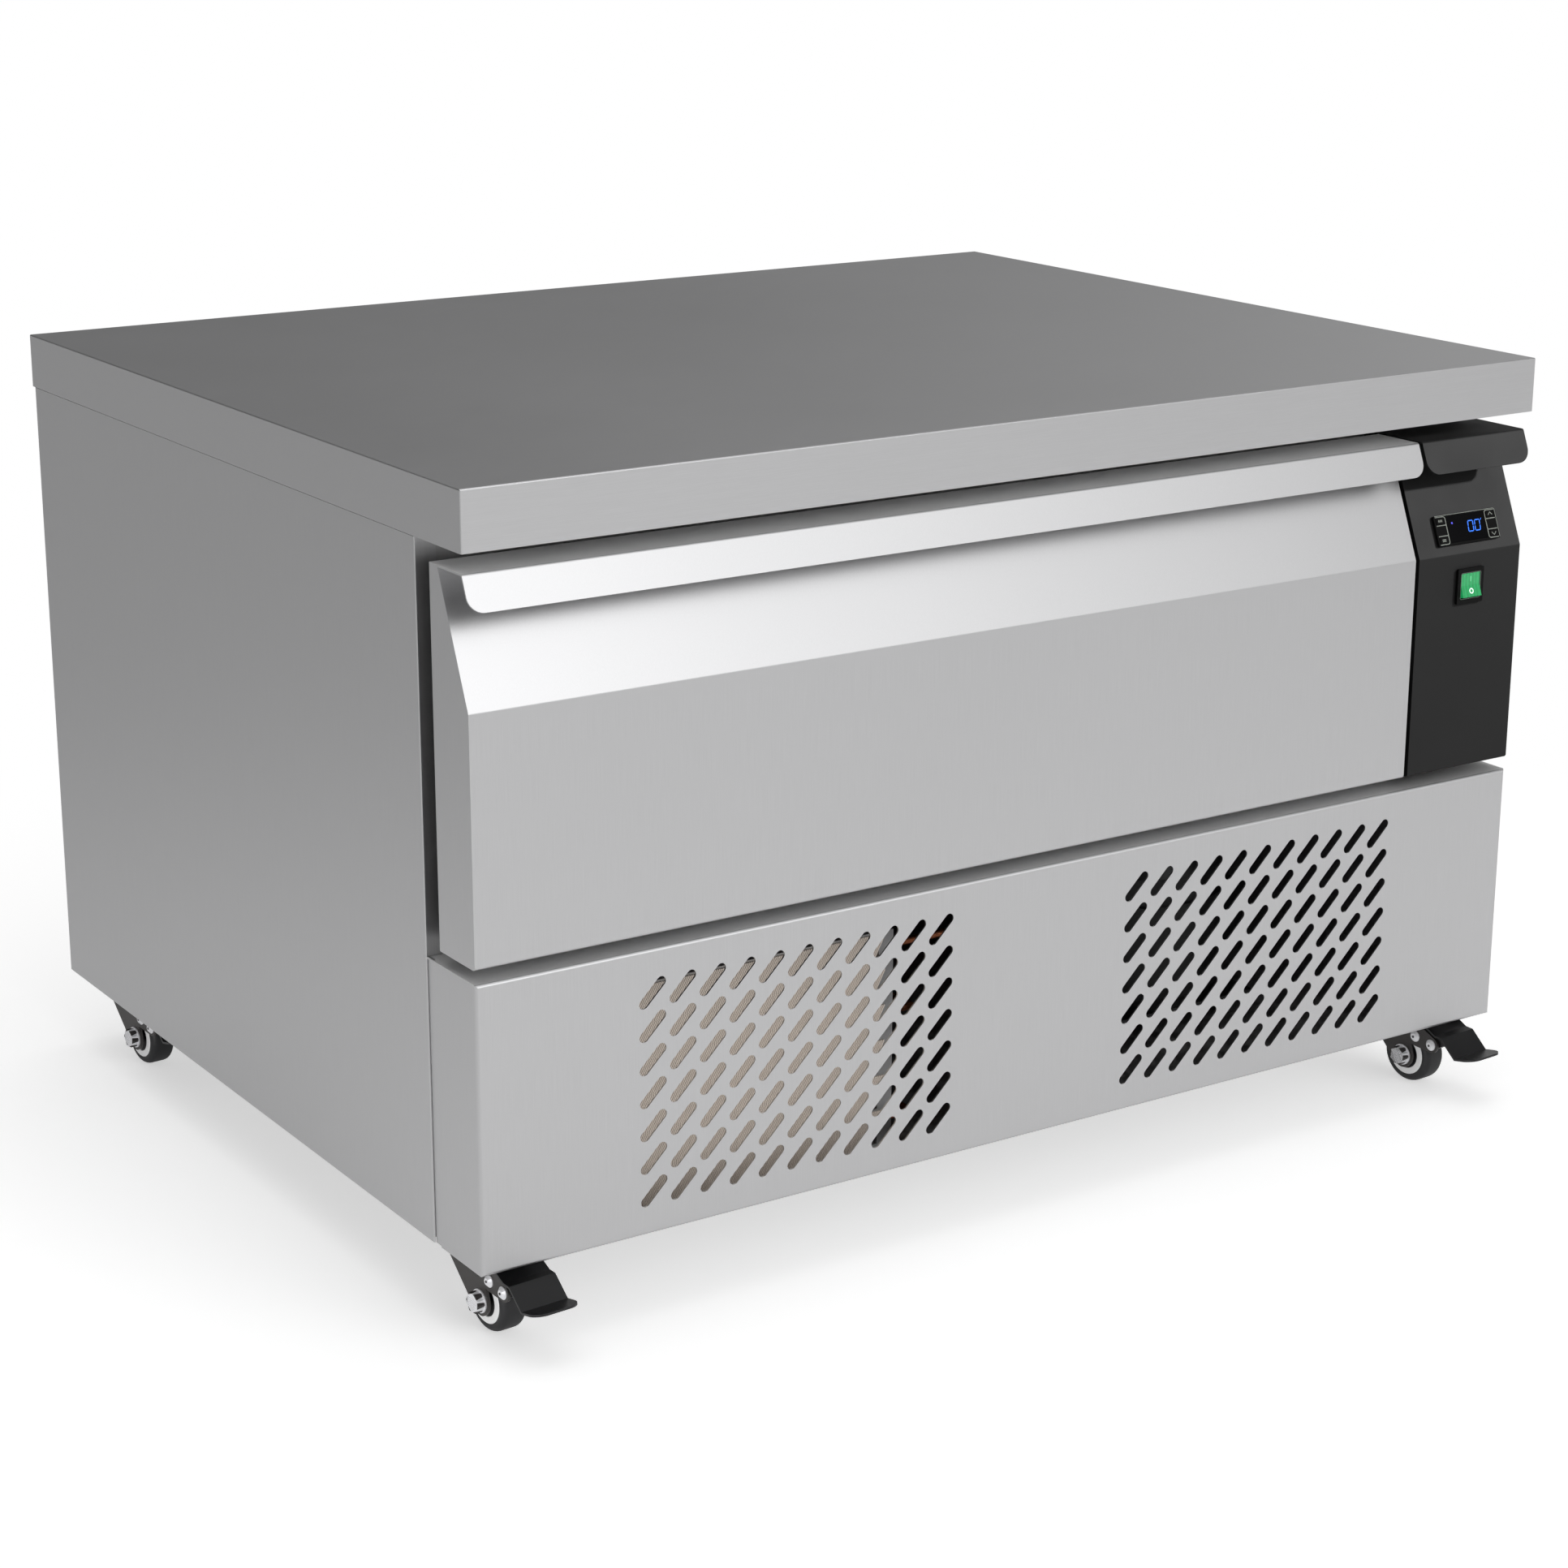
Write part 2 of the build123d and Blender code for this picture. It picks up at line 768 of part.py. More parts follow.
def fork_plate():
    """A side plate's outline: a leg that sweeps down to a round end and an arm out to the brake."""
    top = fork_head_top - fork_sheet
    leg_top = Polyline((fork_head_front, top), (-fork_back, top), (1 - fork_back, fork_throat))
    leg_end = Pos(*axle_centre) * Circle(leg_end_radius)
    arm_top = Polyline((fork_head_front, top), (0, top), (arm_root, arm_low))
    arm_end = Pos(*brake_centre) * Circle(arm_end_radius)
    return make_hull([*leg_top.edges(), *leg_end.edges()]) + make_hull([*arm_top.edges(), *arm_end.edges()])


def castor_fork():
    """A pressed fork, trailing along +X, with the axle bolt and the brake's pin closed over its sides."""
    t, top = fork_sheet, fork_head_top
    plate = fork_plate()
    fork = extrude(Plane.XZ.offset(fork_gap) * plate, t) + extrude(Plane.XZ.offset(-fork_outside) * plate, t)
    fork += block(-fork_back, fork_head_front, -fork_outside, fork_outside, top - t, top)
    fork += tube(0, 0, top - t, top, fork_head_front)
    fork -= tube(0, 0, top - t - 1, top + 1, kingpin_radius + run)
    fork += crosswise(axle_centre, axle_radius, 2 * fork_gap + t)
    nut = Pos(*axle_centre) * hexagon(axle_nut_flats)
    fork += extrude(Plane.XZ.offset(fork_outside) * nut, axle_nut_height)
    fork += extrude(Plane.XZ.offset(-fork_outside - axle_nut_height) * nut, axle_nut_height)
    return fork + crosswise(brake_centre, brake_pin, 2 * fork_gap + t)


def castor_wheel():
    """A moulded wheel, recessed round its bore on both sides, with bevelled shoulders."""
    half, radius = wheel_width / 2, wheel_diameter / 2
    bore = axle_radius + run
    side = [
        (bore, half - hub_recess), (ring_inner, half - hub_recess), (ring_inner, half),
        (radius - wheel_shoulder, half), (radius, half - wheel_shoulder),
    ]
    face = make_face(Polyline(*side, *[(r, -a) for r, a in reversed(side)], close=True))
    return Pos(wheel_trail, 0, axle_height) * revolve(Plane.XY * face, Axis.Y)


def band(points, thickness):
    """A folded strip of even thickness along a line, mitred at its bends."""
    angles = [atan2(b[1] - a[1], b[0] - a[0]) for a, b in zip(points, points[1:])]
    near, far = [], []
    for i, (x, y) in enumerate(points):
        before, after = angles[max(i - 1, 0)], angles[min(i, len(angles) - 1)]
        turn = (before + after) / 2
        half = thickness / 2 / cos((after - before) / 2)
        near.append((x - half * sin(turn), y + half * cos(turn)))
        far.append((x + half * sin(turn), y - half * cos(turn)))
    return make_face(Polyline(*near, *reversed(far), close=True))


# The pedal's side view from its rear edge to its tip, as steps along the trail and up from the brake's pin.
pedal_line = [(-10, 18), (6.7, 9.9), (13.3, 9.7), (17.5, 6.1), (27.8, -2.9), (46, 0.9)]
ear_line = [(-4, 3), *pedal_line[:4], (2, -4)]


def from_brake(line):
    return [(brake_centre[0] + dx, brake_centre[1] + dz) for dx, dz in line]


def castor_pedal():
    """The brake pedal on its pin: hub, two ears, a cam towards the tread and a dished tread plate."""
    x, z = brake_centre
    inside = fork_gap - glide
    profile = from_brake(pedal_line)
    tip = profile[-1][0]
    plate = extrude(Plane.XZ.offset(-pedal_width / 2) * band(profile, pedal_sheet), pedal_width)
    corners = plate.edges().filter_by(lambda e: abs(e.length - pedal_sheet) < 0.2 and e.center().X > tip - 2)
    pedal = fillet(corners, pedal_corner)
    # The ears join the plate to the hub just inside the fork's side plates.
    ear = make_face(Polyline(*from_brake(ear_line), close=True))
    for y in (-inside, inside - fork_sheet):
        pedal += extrude(Plane.XZ.offset(-y - fork_sheet) * ear, fork_sheet)
    pedal += crosswise(brake_centre, pedal_hub_radius, 2 * inside)
    # The cam stops a hair short of the tread: the brake is on.
    dx, dz = axle_centre[0] - x, axle_centre[1] - z
    reach = hypot(dx, dz) - wheel_diameter / 2 - seat
    cam = Rot(0, 0, degrees(atan2(dz, dx))) * Pos(reach / 2, 0) * Rectangle(reach, pedal_cam_width)
    cam_face = Plane.XZ.offset(-pedal_cam_depth / 2) * Pos(x, z) * (cam & Circle(reach))
    pedal += extrude(cam_face, pedal_cam_depth)
    return pedal - crosswise(brake_centre, brake_pin + run, 4 * inside)


def set_castor(shape, place):
    """Stand a castor piece at its place, its trail turned from straight ahead."""
    return Pos(place[0], place[1], 0) * Rot(0, 0, castor_turn - 90) * shape


# Machine bay and cold parts
def ladder(width, height, passes):
    """A coil seen from the front: flat tubes between two headers, and folded strips of fin between them."""
    pitch = (height - tube_thick) / (passes - 1)
    heights = [-height / 2 + tube_thick / 2 + i * pitch for i in range(passes)]
    tubes = Sketch()
    for z in heights:
        tubes += Pos(0, z) * Rectangle(width, tube_thick)
    for side in (-1, 1):
        tubes += Pos(side * (width - header_width) / 2, 0) * Rectangle(header_width, height)
    clear = width / 2 - header_width - seat
    fold = 2 * clear / fin_folds
    rise = (pitch - tube_thick) / 2 - seat
    fins = []
    for z in heights[:-1]:
        middle = z + pitch / 2
        heights_low = [middle + (rise - fin_sheet if k % 2 else -rise) for k in range(fin_folds + 1)]
        lower = [(-clear + k * fold, low) for k, low in enumerate(heights_low)]
        upper = [(across_coil, low + fin_sheet) for across_coil, low in lower]
        fins.append(make_face(Polyline(*upper, *reversed(lower), close=True)))
    return tubes, fins


condenser_x = left_edge + condenser_left + condenser_width / 2
condenser_z = tray_top + seat + condenser_height / 2


def condenser_tubes():
    """The condenser's tubes and headers; the headers stand on the tray."""
    tubes, _ = ladder(condenser_width, condenser_height, condenser_passes)
    place = Plane.XZ.offset(-condenser_front - condenser_depth) * Pos(condenser_x, condenser_z)
    return extrude(place * tubes, condenser_depth)


def condenser_fins():
    _, fins = ladder(condenser_width, condenser_height, condenser_passes)
    place = Plane.XZ.offset(fin_inset - condenser_front - condenser_depth) * Pos(condenser_x, condenser_z)
    return group([extrude(place * fin, condenser_depth - 2 * fin_inset) for fin in fins])


evaporator_x = (bay_left + chamber_right) / 2 + evaporator_right_gap
evaporator_y = chamber_back - evaporator_rear_gap - evaporator_width / 2
evaporator_z = (chamber_floor + chamber_roof) / 2


def coil_plane(depth):
    origin = (evaporator_x - depth / 2, evaporator_y, evaporator_z)
    return Plane(origin=origin, x_dir=(0, 1, 0), z_dir=(1, 0, 0))


def evaporator_coil():
    """The cold coil between two hangers that stand on the chamber floor."""
    tubes, _ = ladder(evaporator_width, evaporator_height, evaporator_passes)
    coil = extrude(coil_plane(evaporator_depth) * tubes, evaporator_depth)
    reach, top = evaporator_depth / 2 + hanger_sheet, evaporator_z + evaporator_height / 2
    for side in (-1, 1):
        end = evaporator_y + side * evaporator_width / 2
        ys = sorted((end, end + side * hanger_sheet))
        coil += block(evaporator_x - reach, evaporator_x + reach, *ys, chamber_floor + seat, top)
    return coil


def evaporator_fins():
    _, fins = ladder(evaporator_width, evaporator_height, evaporator_passes)
    depth = evaporator_depth - 2 * fin_inset
    return group([extrude(coil_plane(depth) * fin, depth) for fin in fins])


evaporator_fan_y = bay_front + evaporator_fan_inset + evaporator_fan_radius
evaporator_fan_z = chamber_floor + evaporator_fan_rise
fan_along_x = Rot(0, -90, 0)


def evaporator_cover():
    """The wall between the drawer and the coil bay: below the runner a fan opening and a return grille."""
    z0, z1 = chamber_floor + seat, chamber_roof - seat
    wall = block(cover_left, cover_left + body_sheet, frame_back + seat, chamber_back - seat, z0, z1)
    hole = evaporator_fan_radius + fan_tip_gap
    wall -= Pos(cover_left, evaporator_fan_y, evaporator_fan_z) * fan_along_x * Cylinder(hole, past)
    middle = (return_slots - 1) / 2
    slots = [
        Pos(cover_left, evaporator_y + (i - middle) * return_slot_pitch, evaporator_fan_z)
        * Box(past, return_slot_width, return_slot_height)
        for i in range(return_slots)
    ]
    return wall - slots


def fan_blade(radius, depth):
    """A hub and twisted blades about the Z axis, bored for the motor's shaft."""
    fan = Cylinder(fan_hub_radius, depth)
    root = fan_hub_radius - fan_hub_root
    length = radius - root
    for i in range(fan_blades):
        blade = Box(length, blade_chord * radius, blade_sheet)
        blade = Pos(root + length / 2, 0, 0) * Rot(blade_pitch, 0, 0) * blade
        blade &= Cylinder(radius, 4 * depth)
        blade &= Box(4 * radius, 4 * radius, depth)
        fan += Rot(0, 0, i * 360 / fan_blades) * blade
    return fan - Cylinder(motor_shaft + run, 4 * depth)


def fan_motor(radius, length):
    """A round motor with its shaft, along Z, the shaft's root at zero."""
    body = Pos(0, 0, -length / 2) * Cylinder(radius, length)
    shaft = fan_depth + 2 * motor_gap
    return body + Pos(0, 0, shaft / 2) * Cylinder(motor_shaft, shaft)


shroud_front = condenser_front + condenser_depth + shroud_gap
condenser_fan_y = shroud_front + shroud_depth / 2 + condenser_fan_back
condenser_fan_z = condenser_z + condenser_fan_rise
fan_along_y = across


def condenser_fan_blade():
    fan = fan_along_y * fan_blade(condenser_fan_radius, fan_depth)
    return Pos(condenser_x, condenser_fan_y, condenser_fan_z) * fan


def evaporator_fan_blade():
    x = bay_left + evaporator_fan_gap + fan_depth / 2
    fan = fan_along_x * fan_blade(evaporator_fan_radius, fan_depth)
    return Pos(x, evaporator_fan_y, evaporator_fan_z) * fan


def condenser_fan_motor():
    """The motor behind the blade on a foot that stands on the tray."""
    y, z = condenser_fan_y + fan_depth / 2 + motor_gap, tray_top + seat
    motor = Pos(condenser_x, y, condenser_fan_z) * fan_along_y * fan_motor(motor_radius, motor_length)
    foot = y + motor_length - motor_foot_back
    w = motor_foot_width / 2
    motor += block(condenser_x - w, condenser_x + w, foot, foot + motor_foot_sheet, z, condenser_fan_z)
    w, back = motor_base_width / 2, foot + motor_base_length
    return motor + block(condenser_x - w, condenser_x + w, foot, back, z, z + motor_foot_sheet / 2)


def evaporator_fan_motor():
    """The motor behind the blade, held to the bay's outer wall by a bracket."""
    x, y, z = bay_left + evaporator_fan_gap + fan_depth + motor_gap, evaporator_fan_y, evaporator_fan_z
    motor = Pos(x, y, z) * fan_along_x * fan_motor(motor_radius, motor_length)
    wall = chamber_right - seat
    w = motor_arm_width / 2
    motor += block(x + motor_length - w, wall, y - w, y + w, z - w, z + w)
    w, h = motor_pad_width / 2, motor_pad_height / 2
    return motor + block(wall - motor_foot_sheet / 2, wall, y - w, y + w, z - h, z + h)


def fan_shroud():
    """A plate with a round throat and a rim that closes on the condenser's back."""
    t = shroud_sheet
    w, h = condenser_width / 2, condenser_height
    z0 = tray_top + seat
    plate_y = shroud_front + shroud_depth
    x0, x1 = condenser_x - w, condenser_x + w
    shroud = block(x0, x1, shroud_front - shroud_gap / 2 + seat, plate_y, z0, z0 + h)
    shroud -= block(x0 + t, x1 - t, shroud_front - shroud_gap, plate_y - t, z0 + t, z0 + h - t)
    hole = condenser_fan_radius + fan_tip_gap
    return shroud - Pos(condenser_x, plate_y, condenser_fan_z) * fan_along_y * Cylinder(hole, past)


def compressor():
    """A low welded shell: a drawn cup, a stepped lid and the seam band between them, on a footed plate."""
    base = tray_top + seat + foot_height
    r, top = compressor_radius, compressor_height
    seam, seam_top = r + seam_proud, seam_height + seam_thick
    cup = [(0, 0), (r - cup_corner, 0), (r, cup_corner), (r, seam_height)]
    seam_band = [(seam, seam_height), (seam, seam_top), (r, seam_top), (r, top - lid_shoulder)]
    lid = [(r - lid_step_in, top - lid_step_down), (r - lid_crown_in, top), (0, top)]
    half = Plane.XZ * make_face(Polyline(*cup, *seam_band, *lid, close=True))
    t, rim = foot_plate_sheet, foot_plate_rim
    shell = Pos(compressor_x, compressor_y, base + t) * revolve(half, Axis.Z)
    plate = Box(2 * (foot_spread_x + rim), 2 * (foot_spread_y + rim), t)
    plate = Pos(compressor_x, compressor_y, base + t / 2) * plate
    x, w = compressor_x + r, plug_cover_width / 2
    plug_cover = block(
        x - plug_cover_in, x + plug_cover_out, compressor_y - w, compressor_y + w,
        base + plug_cover_bottom, base + plug_cover_top,
    )
    return shell + plate + plug_cover


def compressor_feet():
    """A round rubber foot under each corner of the compressor's plate."""
    z0 = tray_top + seat
    xs = (compressor_x - foot_spread_x, compressor_x + foot_spread_x)
    ys = (compressor_y - foot_spread_y, compressor_y + foot_spread_y)
    return group([tube(x, y, z0, z0 + foot_height - seat, foot_radius) for x in xs for y in ys])


suction_foot = (chamber_right - suction_foot_inset, chamber_back - pipe_feet_back)
liquid_foot = (chamber_right - liquid_foot_inset, chamber_back - pipe_feet_back)


def pipe(points, radius):
    """A round pipe of straight runs joined by mitred elbows."""
    path = Polyline(*points)
    start = Plane(origin=path @ 0, z_dir=path % 0)
    return sweep(start * Circle(radius), path, transition=Transition.RIGHT)


def refrigerant_pipes():
    """Discharge, liquid line with its drier, and suction, each a separate run of tube."""
    coil_x, coil_y = condenser_x + condenser_width / 2, condenser_front + condenser_depth / 2
    side_x, coil_end = coil_x + pipe_side_gap, coil_x + seat
    upper, lower = condenser_z + discharge_rise, condenser_z - condenser_height / 2 + liquid_rise
    reach = compressor_radius + seat
    hot_end, cold_end = compressor_x - reach, compressor_y + reach
    discharge_plan = [(hot_end, compressor_y), (side_x, compressor_y), (side_x, coil_y), (coil_end, coil_y)]
    discharge = [(x, y, upper) for x, y in discharge_plan]
    x, y = liquid_foot
    liquid_plan = [(coil_end, coil_y), (side_x, coil_y), (side_x, y), (x, y)]
    liquid = [*[(a, b, lower) for a, b in liquid_plan], (x, y, chamber_floor + liquid_end)]
    drier = Pos(side_x, drier_y, lower) * across * Cylinder(drier_radius, drier_length)
    x, y = suction_foot
    suction_plan = [(compressor_x, cold_end), (compressor_x, y), (x, y)]
    suction = [*[(a, b, lower + suction_rise) for a, b in suction_plan], (x, y, chamber_floor + suction_end)]
    liquid_line = pipe(liquid, thin_pipe_radius) + drier
    return group([pipe(discharge, thin_pipe_radius), liquid_line, pipe(suction, pipe_radius)])


def evaporation_tray():
    """A shallow dish that dries the defrost water, behind the condenser's fan."""
    x0, y0, z0 = left_edge + dish_left, dish_front, tray_top + seat
    x1, y1, z1, t = x0 + dish_length, y0 + dish_width, z0 + dish_height, dish_wall
    dish = block(x0, x1, y0, y1, z0, z1)
    dish = fillet(dish.edges().filter_by(Axis.Z), dish_corner)
    hollow = block(x0 + t, x1 - t, y0 + t, y1 - t, z0 + t, z1 + 1)
    return dish - fillet(hollow.edges().filter_by(Axis.Z), dish_corner - t)


def terminal_box():
    z0, w = tray_top + seat, terminal_width / 2
    y1 = chamber_back - terminal_rear_gap
    box = block(terminal_x - w, terminal_x + w, y1 - terminal_depth, y1, z0, z0 + terminal_height)
    return chamfer(box.edges().filter_by(Axis.Z), terminal_corner)


gland_height = tray_top + gland_rise


def gland_hole():
    return Pos(terminal_x, inner_back, gland_height) * across * Cylinder(gland_radius + seat, past)


def mains_gland():
    """The cable inlet: a neck with a hexagon nut outside the rear panel and a lock nut inside."""
    face = Pos(terminal_x, gland_height) * hexagon(gland_flats)
    outside = extrude(Plane.XZ.offset(-inner_back - seat - gland_nut) * face, gland_nut)
    inside = extrude(Plane.XZ.offset(-inner_back + body_sheet + seat) * face, lock_nut)
    y0, y1 = inner_back - body_sheet - seat - lock_nut, inner_back + gland_proud
    neck = Pos(terminal_x, (y0 + y1) / 2, gland_height) * across * Cylinder(gland_radius, y1 - y0)
    bore = Pos(terminal_x, y1, gland_height) * across * Cylinder(gland_bore, 2 * past)
    return neck + outside + inside - bore


def build():
    outer, middle, inner = runner_members()
    sides = ("left", "right")
    parts = {
        "worktop_skin": worktop_skin(),
        "worktop_core": worktop_core(),
        "side_panel_left": side_panel(left_edge, 1),
        "side_panel_right": side_panel(cabinet_right, -1),
        "rear_panel": rear_panel(),
        "front_frame": front_frame(),
        "cabinet_foam": cabinet_foam(),
        "chamber_liner": chamber_liner(),
        "machine_deck": machine_deck(),
        "base_tray": base_tray(),
        "lower_panel": lower_panel(),
        "control_cover": control_cover(),
        "controller_housing": controller_housing(),
        "controller_lens": controller_lens(),
        "switch_housing": switch_housing(),
        "switch_rocker": switch_rocker(),
        "drawer_front_skin": drawer_front_skin(),
        "drawer_front_foam": drawer_front_foam(),
        "drawer_inner_panel": drawer_inner_panel(),
        "drawer_gasket": drawer_gasket(),
        "drawer_frame": drawer_frame(),
        "pan_divider": pan_divider(),
        "runner_outer_members": group([place_runner(outer, side) for side in sides]),
        "runner_middle_left": place_runner(middle, "left"),
        "runner_middle_right": place_runner(middle, "right"),
        "runner_inner_members": group([place_runner(inner, side) for side in sides]),
        "evaporator_cover": evaporator_cover(),
        "evaporator_coil": evaporator_coil(),
        "evaporator_fins": evaporator_fins(),
        "evaporator_fan_blade": evaporator_fan_blade(),
        "evaporator_fan_motor": evaporator_fan_motor(),
        "condenser_tubes": condenser_tubes(),
        "condenser_fins": condenser_fins(),
        "fan_shroud": fan_shroud(),
        "condenser_fan_blade": condenser_fan_blade(),
        "condenser_fan_motor": condenser_fan_motor(),
        "compressor": compressor(),
        "compressor_feet": compressor_feet(),
        "refrigerant_pipes": refrigerant_pipes(),
        "evaporation_tray": evaporation_tray(),
        "terminal_box": terminal_box(),
        "mains_gland": mains_gland(),
    }
    for name in key_places:
        parts["key_" + name] = controller_key(name)
    places = castor_places()
    plate = castor_plate()
    parts["castor_plates"] = group([Pos(x, y, 0) * plate for x, y in places])
    for corner, place in zip(("front_left", "front_right", "rear_left", "rear_right"), places):
        parts["castor_fork_" + corner] = set_castor(castor_fork(), place)
        parts["castor_wheel_" + corner] = set_castor(castor_wheel(), place)
        parts["castor_pedal_" + corner] = set_castor(castor_pedal(), place)
    return parts


def main():
    os.makedirs("parts", exist_ok=True)
    parts = build()
    boxes = [shape.bounding_box() for shape in parts.values()]
    shift = -(min(box.min.Y for box in boxes) + max(box.max.Y for box in boxes)) / 2
    for name, shape in parts.items():
        export_step(Pos(0, shift, 0) * shape, f"parts/{name}.step")
    print("pieces", len(parts), "moved back by", round(shift, 3))


main()
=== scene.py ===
"""Looks of a low refrigerated counter: brushed steel, a slotted machine panel, castors and a lit control."""
import json
import math

import bmesh
import bpy
from bpy.props import BoolProperty, FloatProperty, FloatVectorProperty
from bpy.props import IntProperty, PointerProperty, StringProperty
from mathutils import Matrix, Vector

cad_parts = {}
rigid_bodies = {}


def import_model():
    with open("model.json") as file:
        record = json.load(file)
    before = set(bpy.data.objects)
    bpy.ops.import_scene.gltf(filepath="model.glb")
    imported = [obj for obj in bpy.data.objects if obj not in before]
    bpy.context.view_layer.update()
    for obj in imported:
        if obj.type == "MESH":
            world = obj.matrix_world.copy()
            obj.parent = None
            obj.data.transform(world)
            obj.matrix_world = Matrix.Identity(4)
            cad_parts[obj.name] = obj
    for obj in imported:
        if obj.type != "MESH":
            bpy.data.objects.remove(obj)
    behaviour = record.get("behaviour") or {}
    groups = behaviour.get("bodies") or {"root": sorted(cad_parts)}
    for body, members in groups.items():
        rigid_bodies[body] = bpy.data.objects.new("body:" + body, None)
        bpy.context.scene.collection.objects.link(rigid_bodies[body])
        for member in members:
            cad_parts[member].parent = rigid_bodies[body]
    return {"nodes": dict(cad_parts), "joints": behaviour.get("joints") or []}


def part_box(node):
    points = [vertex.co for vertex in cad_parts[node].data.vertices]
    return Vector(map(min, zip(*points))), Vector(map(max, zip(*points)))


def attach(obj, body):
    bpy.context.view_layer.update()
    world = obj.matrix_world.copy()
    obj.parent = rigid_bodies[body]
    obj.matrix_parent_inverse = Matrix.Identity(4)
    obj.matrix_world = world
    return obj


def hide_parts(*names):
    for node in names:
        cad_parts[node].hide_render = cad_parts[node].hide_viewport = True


bl_info = {
    "name": "Refrigerated counter looks",
    "version": (1, 0, 0),
    "blender": (4, 5, 0),
    "location": "3D View > Sidebar > Counter",
    "description": "Finishes and fine detail for a low refrigerated counter",
    "category": "Object",
}

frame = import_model()
nodes = frame["nodes"]
joints = {joint["name"]: joint for joint in frame["joints"]}
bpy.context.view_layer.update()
CASTORS = ("front_left", "front_right", "rear_left", "rear_right")
WHITE = (1.0, 1.0, 1.0, 1.0)


def linear(value):
    """A screen value of 0 to 255 as a share of light."""
    value /= 255
    return value / 12.92 if value <= 0.04045 else ((value + 0.055) / 1.055) ** 2.4


def tint(red, green, blue):
    """A colour from its screen values."""
    return (linear(red), linear(green), linear(blue), 1.0)


def shade(level, blue=0):
    """A grey from its screen value, with a little blue added."""
    return tint(level, level, min(255, level + blue))


def scaled(colour, factor, lift=0.0):
    """A colour made darker or lighter, but no lighter than white."""
    return tuple(min(1.0, factor * c + lift) for c in colour[:3]) + (1.0,)


# Node sheets, for shaders and for geometry
class Wire:
    """An output socket that takes part in sums: each operator adds its Math node."""

    def __init__(self, sheet, socket):
        self.sheet = sheet
        self.socket = socket

    def maths(self, operation, first, second):
        return self.sheet.node("ShaderNodeMath", [first, second], operation=operation)

    def __add__(self, other):
        return self.maths("ADD", self, other)

    def __sub__(self, other):
        return self.maths("SUBTRACT", self, other)

    def __rsub__(self, other):
        return self.maths("SUBTRACT", other, self)

    def __mul__(self, other):
        return self.maths("MULTIPLY", self, other)

    def __pow__(self, other):
        return self.maths("POWER", self, other)

    def __rpow__(self, other):
        return self.maths("POWER", other, self)

    __radd__ = __add__
    __rmul__ = __mul__


class Sheet:
    """A node tree that is filled one node at a time."""

    def __init__(self, tree):
        self.tree = tree
        tree.nodes.clear()

    def node(self, kind, inputs=(), output=0, stops=(), **settings):
        """Add a node: its settings first, then the values or links of its sockets by name or by place."""
        made = self.tree.nodes.new(kind)
        for key, value in settings.items():
            setattr(made, key, value)
        for index, (place, colour) in enumerate(stops):
            ramp = made.color_ramp.elements
            stop = ramp[index] if index < len(ramp) else ramp.new(place)
            stop.position = place
            stop.color = colour
        pairs = inputs.items() if isinstance(inputs, dict) else enumerate(inputs)
        for key, value in pairs:
            self.join(value, made.inputs[key])
        return Wire(self, made.outputs[output])

    def join(self, value, socket):
        """Give a socket a link, each of several links, or a plain value."""
        for item in value if isinstance(value, list) else [value]:
            if isinstance(item, Wire):
                self.tree.links.new(item.socket, socket)
            elif item is not None:
                socket.default_value = item

    def end(self, kind, result):
        """Link the tree's result to a new output node."""
        made = self.tree.nodes.new(kind)
        self.tree.links.new(result.socket, made.inputs[0])

    def blend(self, share, first, second):
        """A colour between two, by a share from 0 to 1. The Mix node has its colours at sockets 6 and 7."""
        return self.node("ShaderNodeMix", {0: share, 6: first, 7: second}, output=2, data_type="RGBA")

    def fade(self, value, start, end, first, last):
        """A number that goes from first to last while a value goes from start to end."""
        return self.node("ShaderNodeMapRange", {"Value": value, 1: start, 2: end, 3: first, 4: last})

    def along(self, vector, direction):
        """How far a vector reaches along a direction."""
        return self.node("ShaderNodeVectorMath", [vector, direction], output="Value", operation="DOT_PRODUCT")


class Finish(Sheet):
    """A material in the making, which ends in one Principled shader."""

    def __init__(self, name, colour, rough, metal=0.0, **constants):
        material = bpy.data.materials.new(name)
        material.use_nodes = True
        material.diffuse_color = colour
        super().__init__(material.node_tree)
        self.shader = self.tree.nodes.new("ShaderNodeBsdfPrincipled")
        self.end("ShaderNodeOutputMaterial", Wire(self, self.shader.outputs[0]))
        self.put(Base_Color=colour, Roughness=rough, Metallic=metal, **constants)

    def put(self, **values):
        for key, value in values.items():
            self.join(value, self.shader.inputs[key.replace("_", " ")])

    def place(self, x=1, y=1, z=1):
        """Object coordinates in metres, stretched by a scale for each axis."""
        here = self.node("ShaderNodeTexCoord", output="Object")
        return self.node("ShaderNodeMapping", {"Vector": here, "Scale": (x, y, z)})

    def noise(self, vector, scale, detail=3.0, rough=0.5):
        values = {"Vector": vector, "Scale": scale, "Detail": detail, "Roughness": rough}
        return self.node("ShaderNodeTexNoise", values)

    def bump(self, height, depth, strength=1.0):
        """A normal from a height of 0 to 1 and its depth in metres."""
        return self.node("ShaderNodeBump", {"Height": height, "Distance": depth, "Strength": strength})


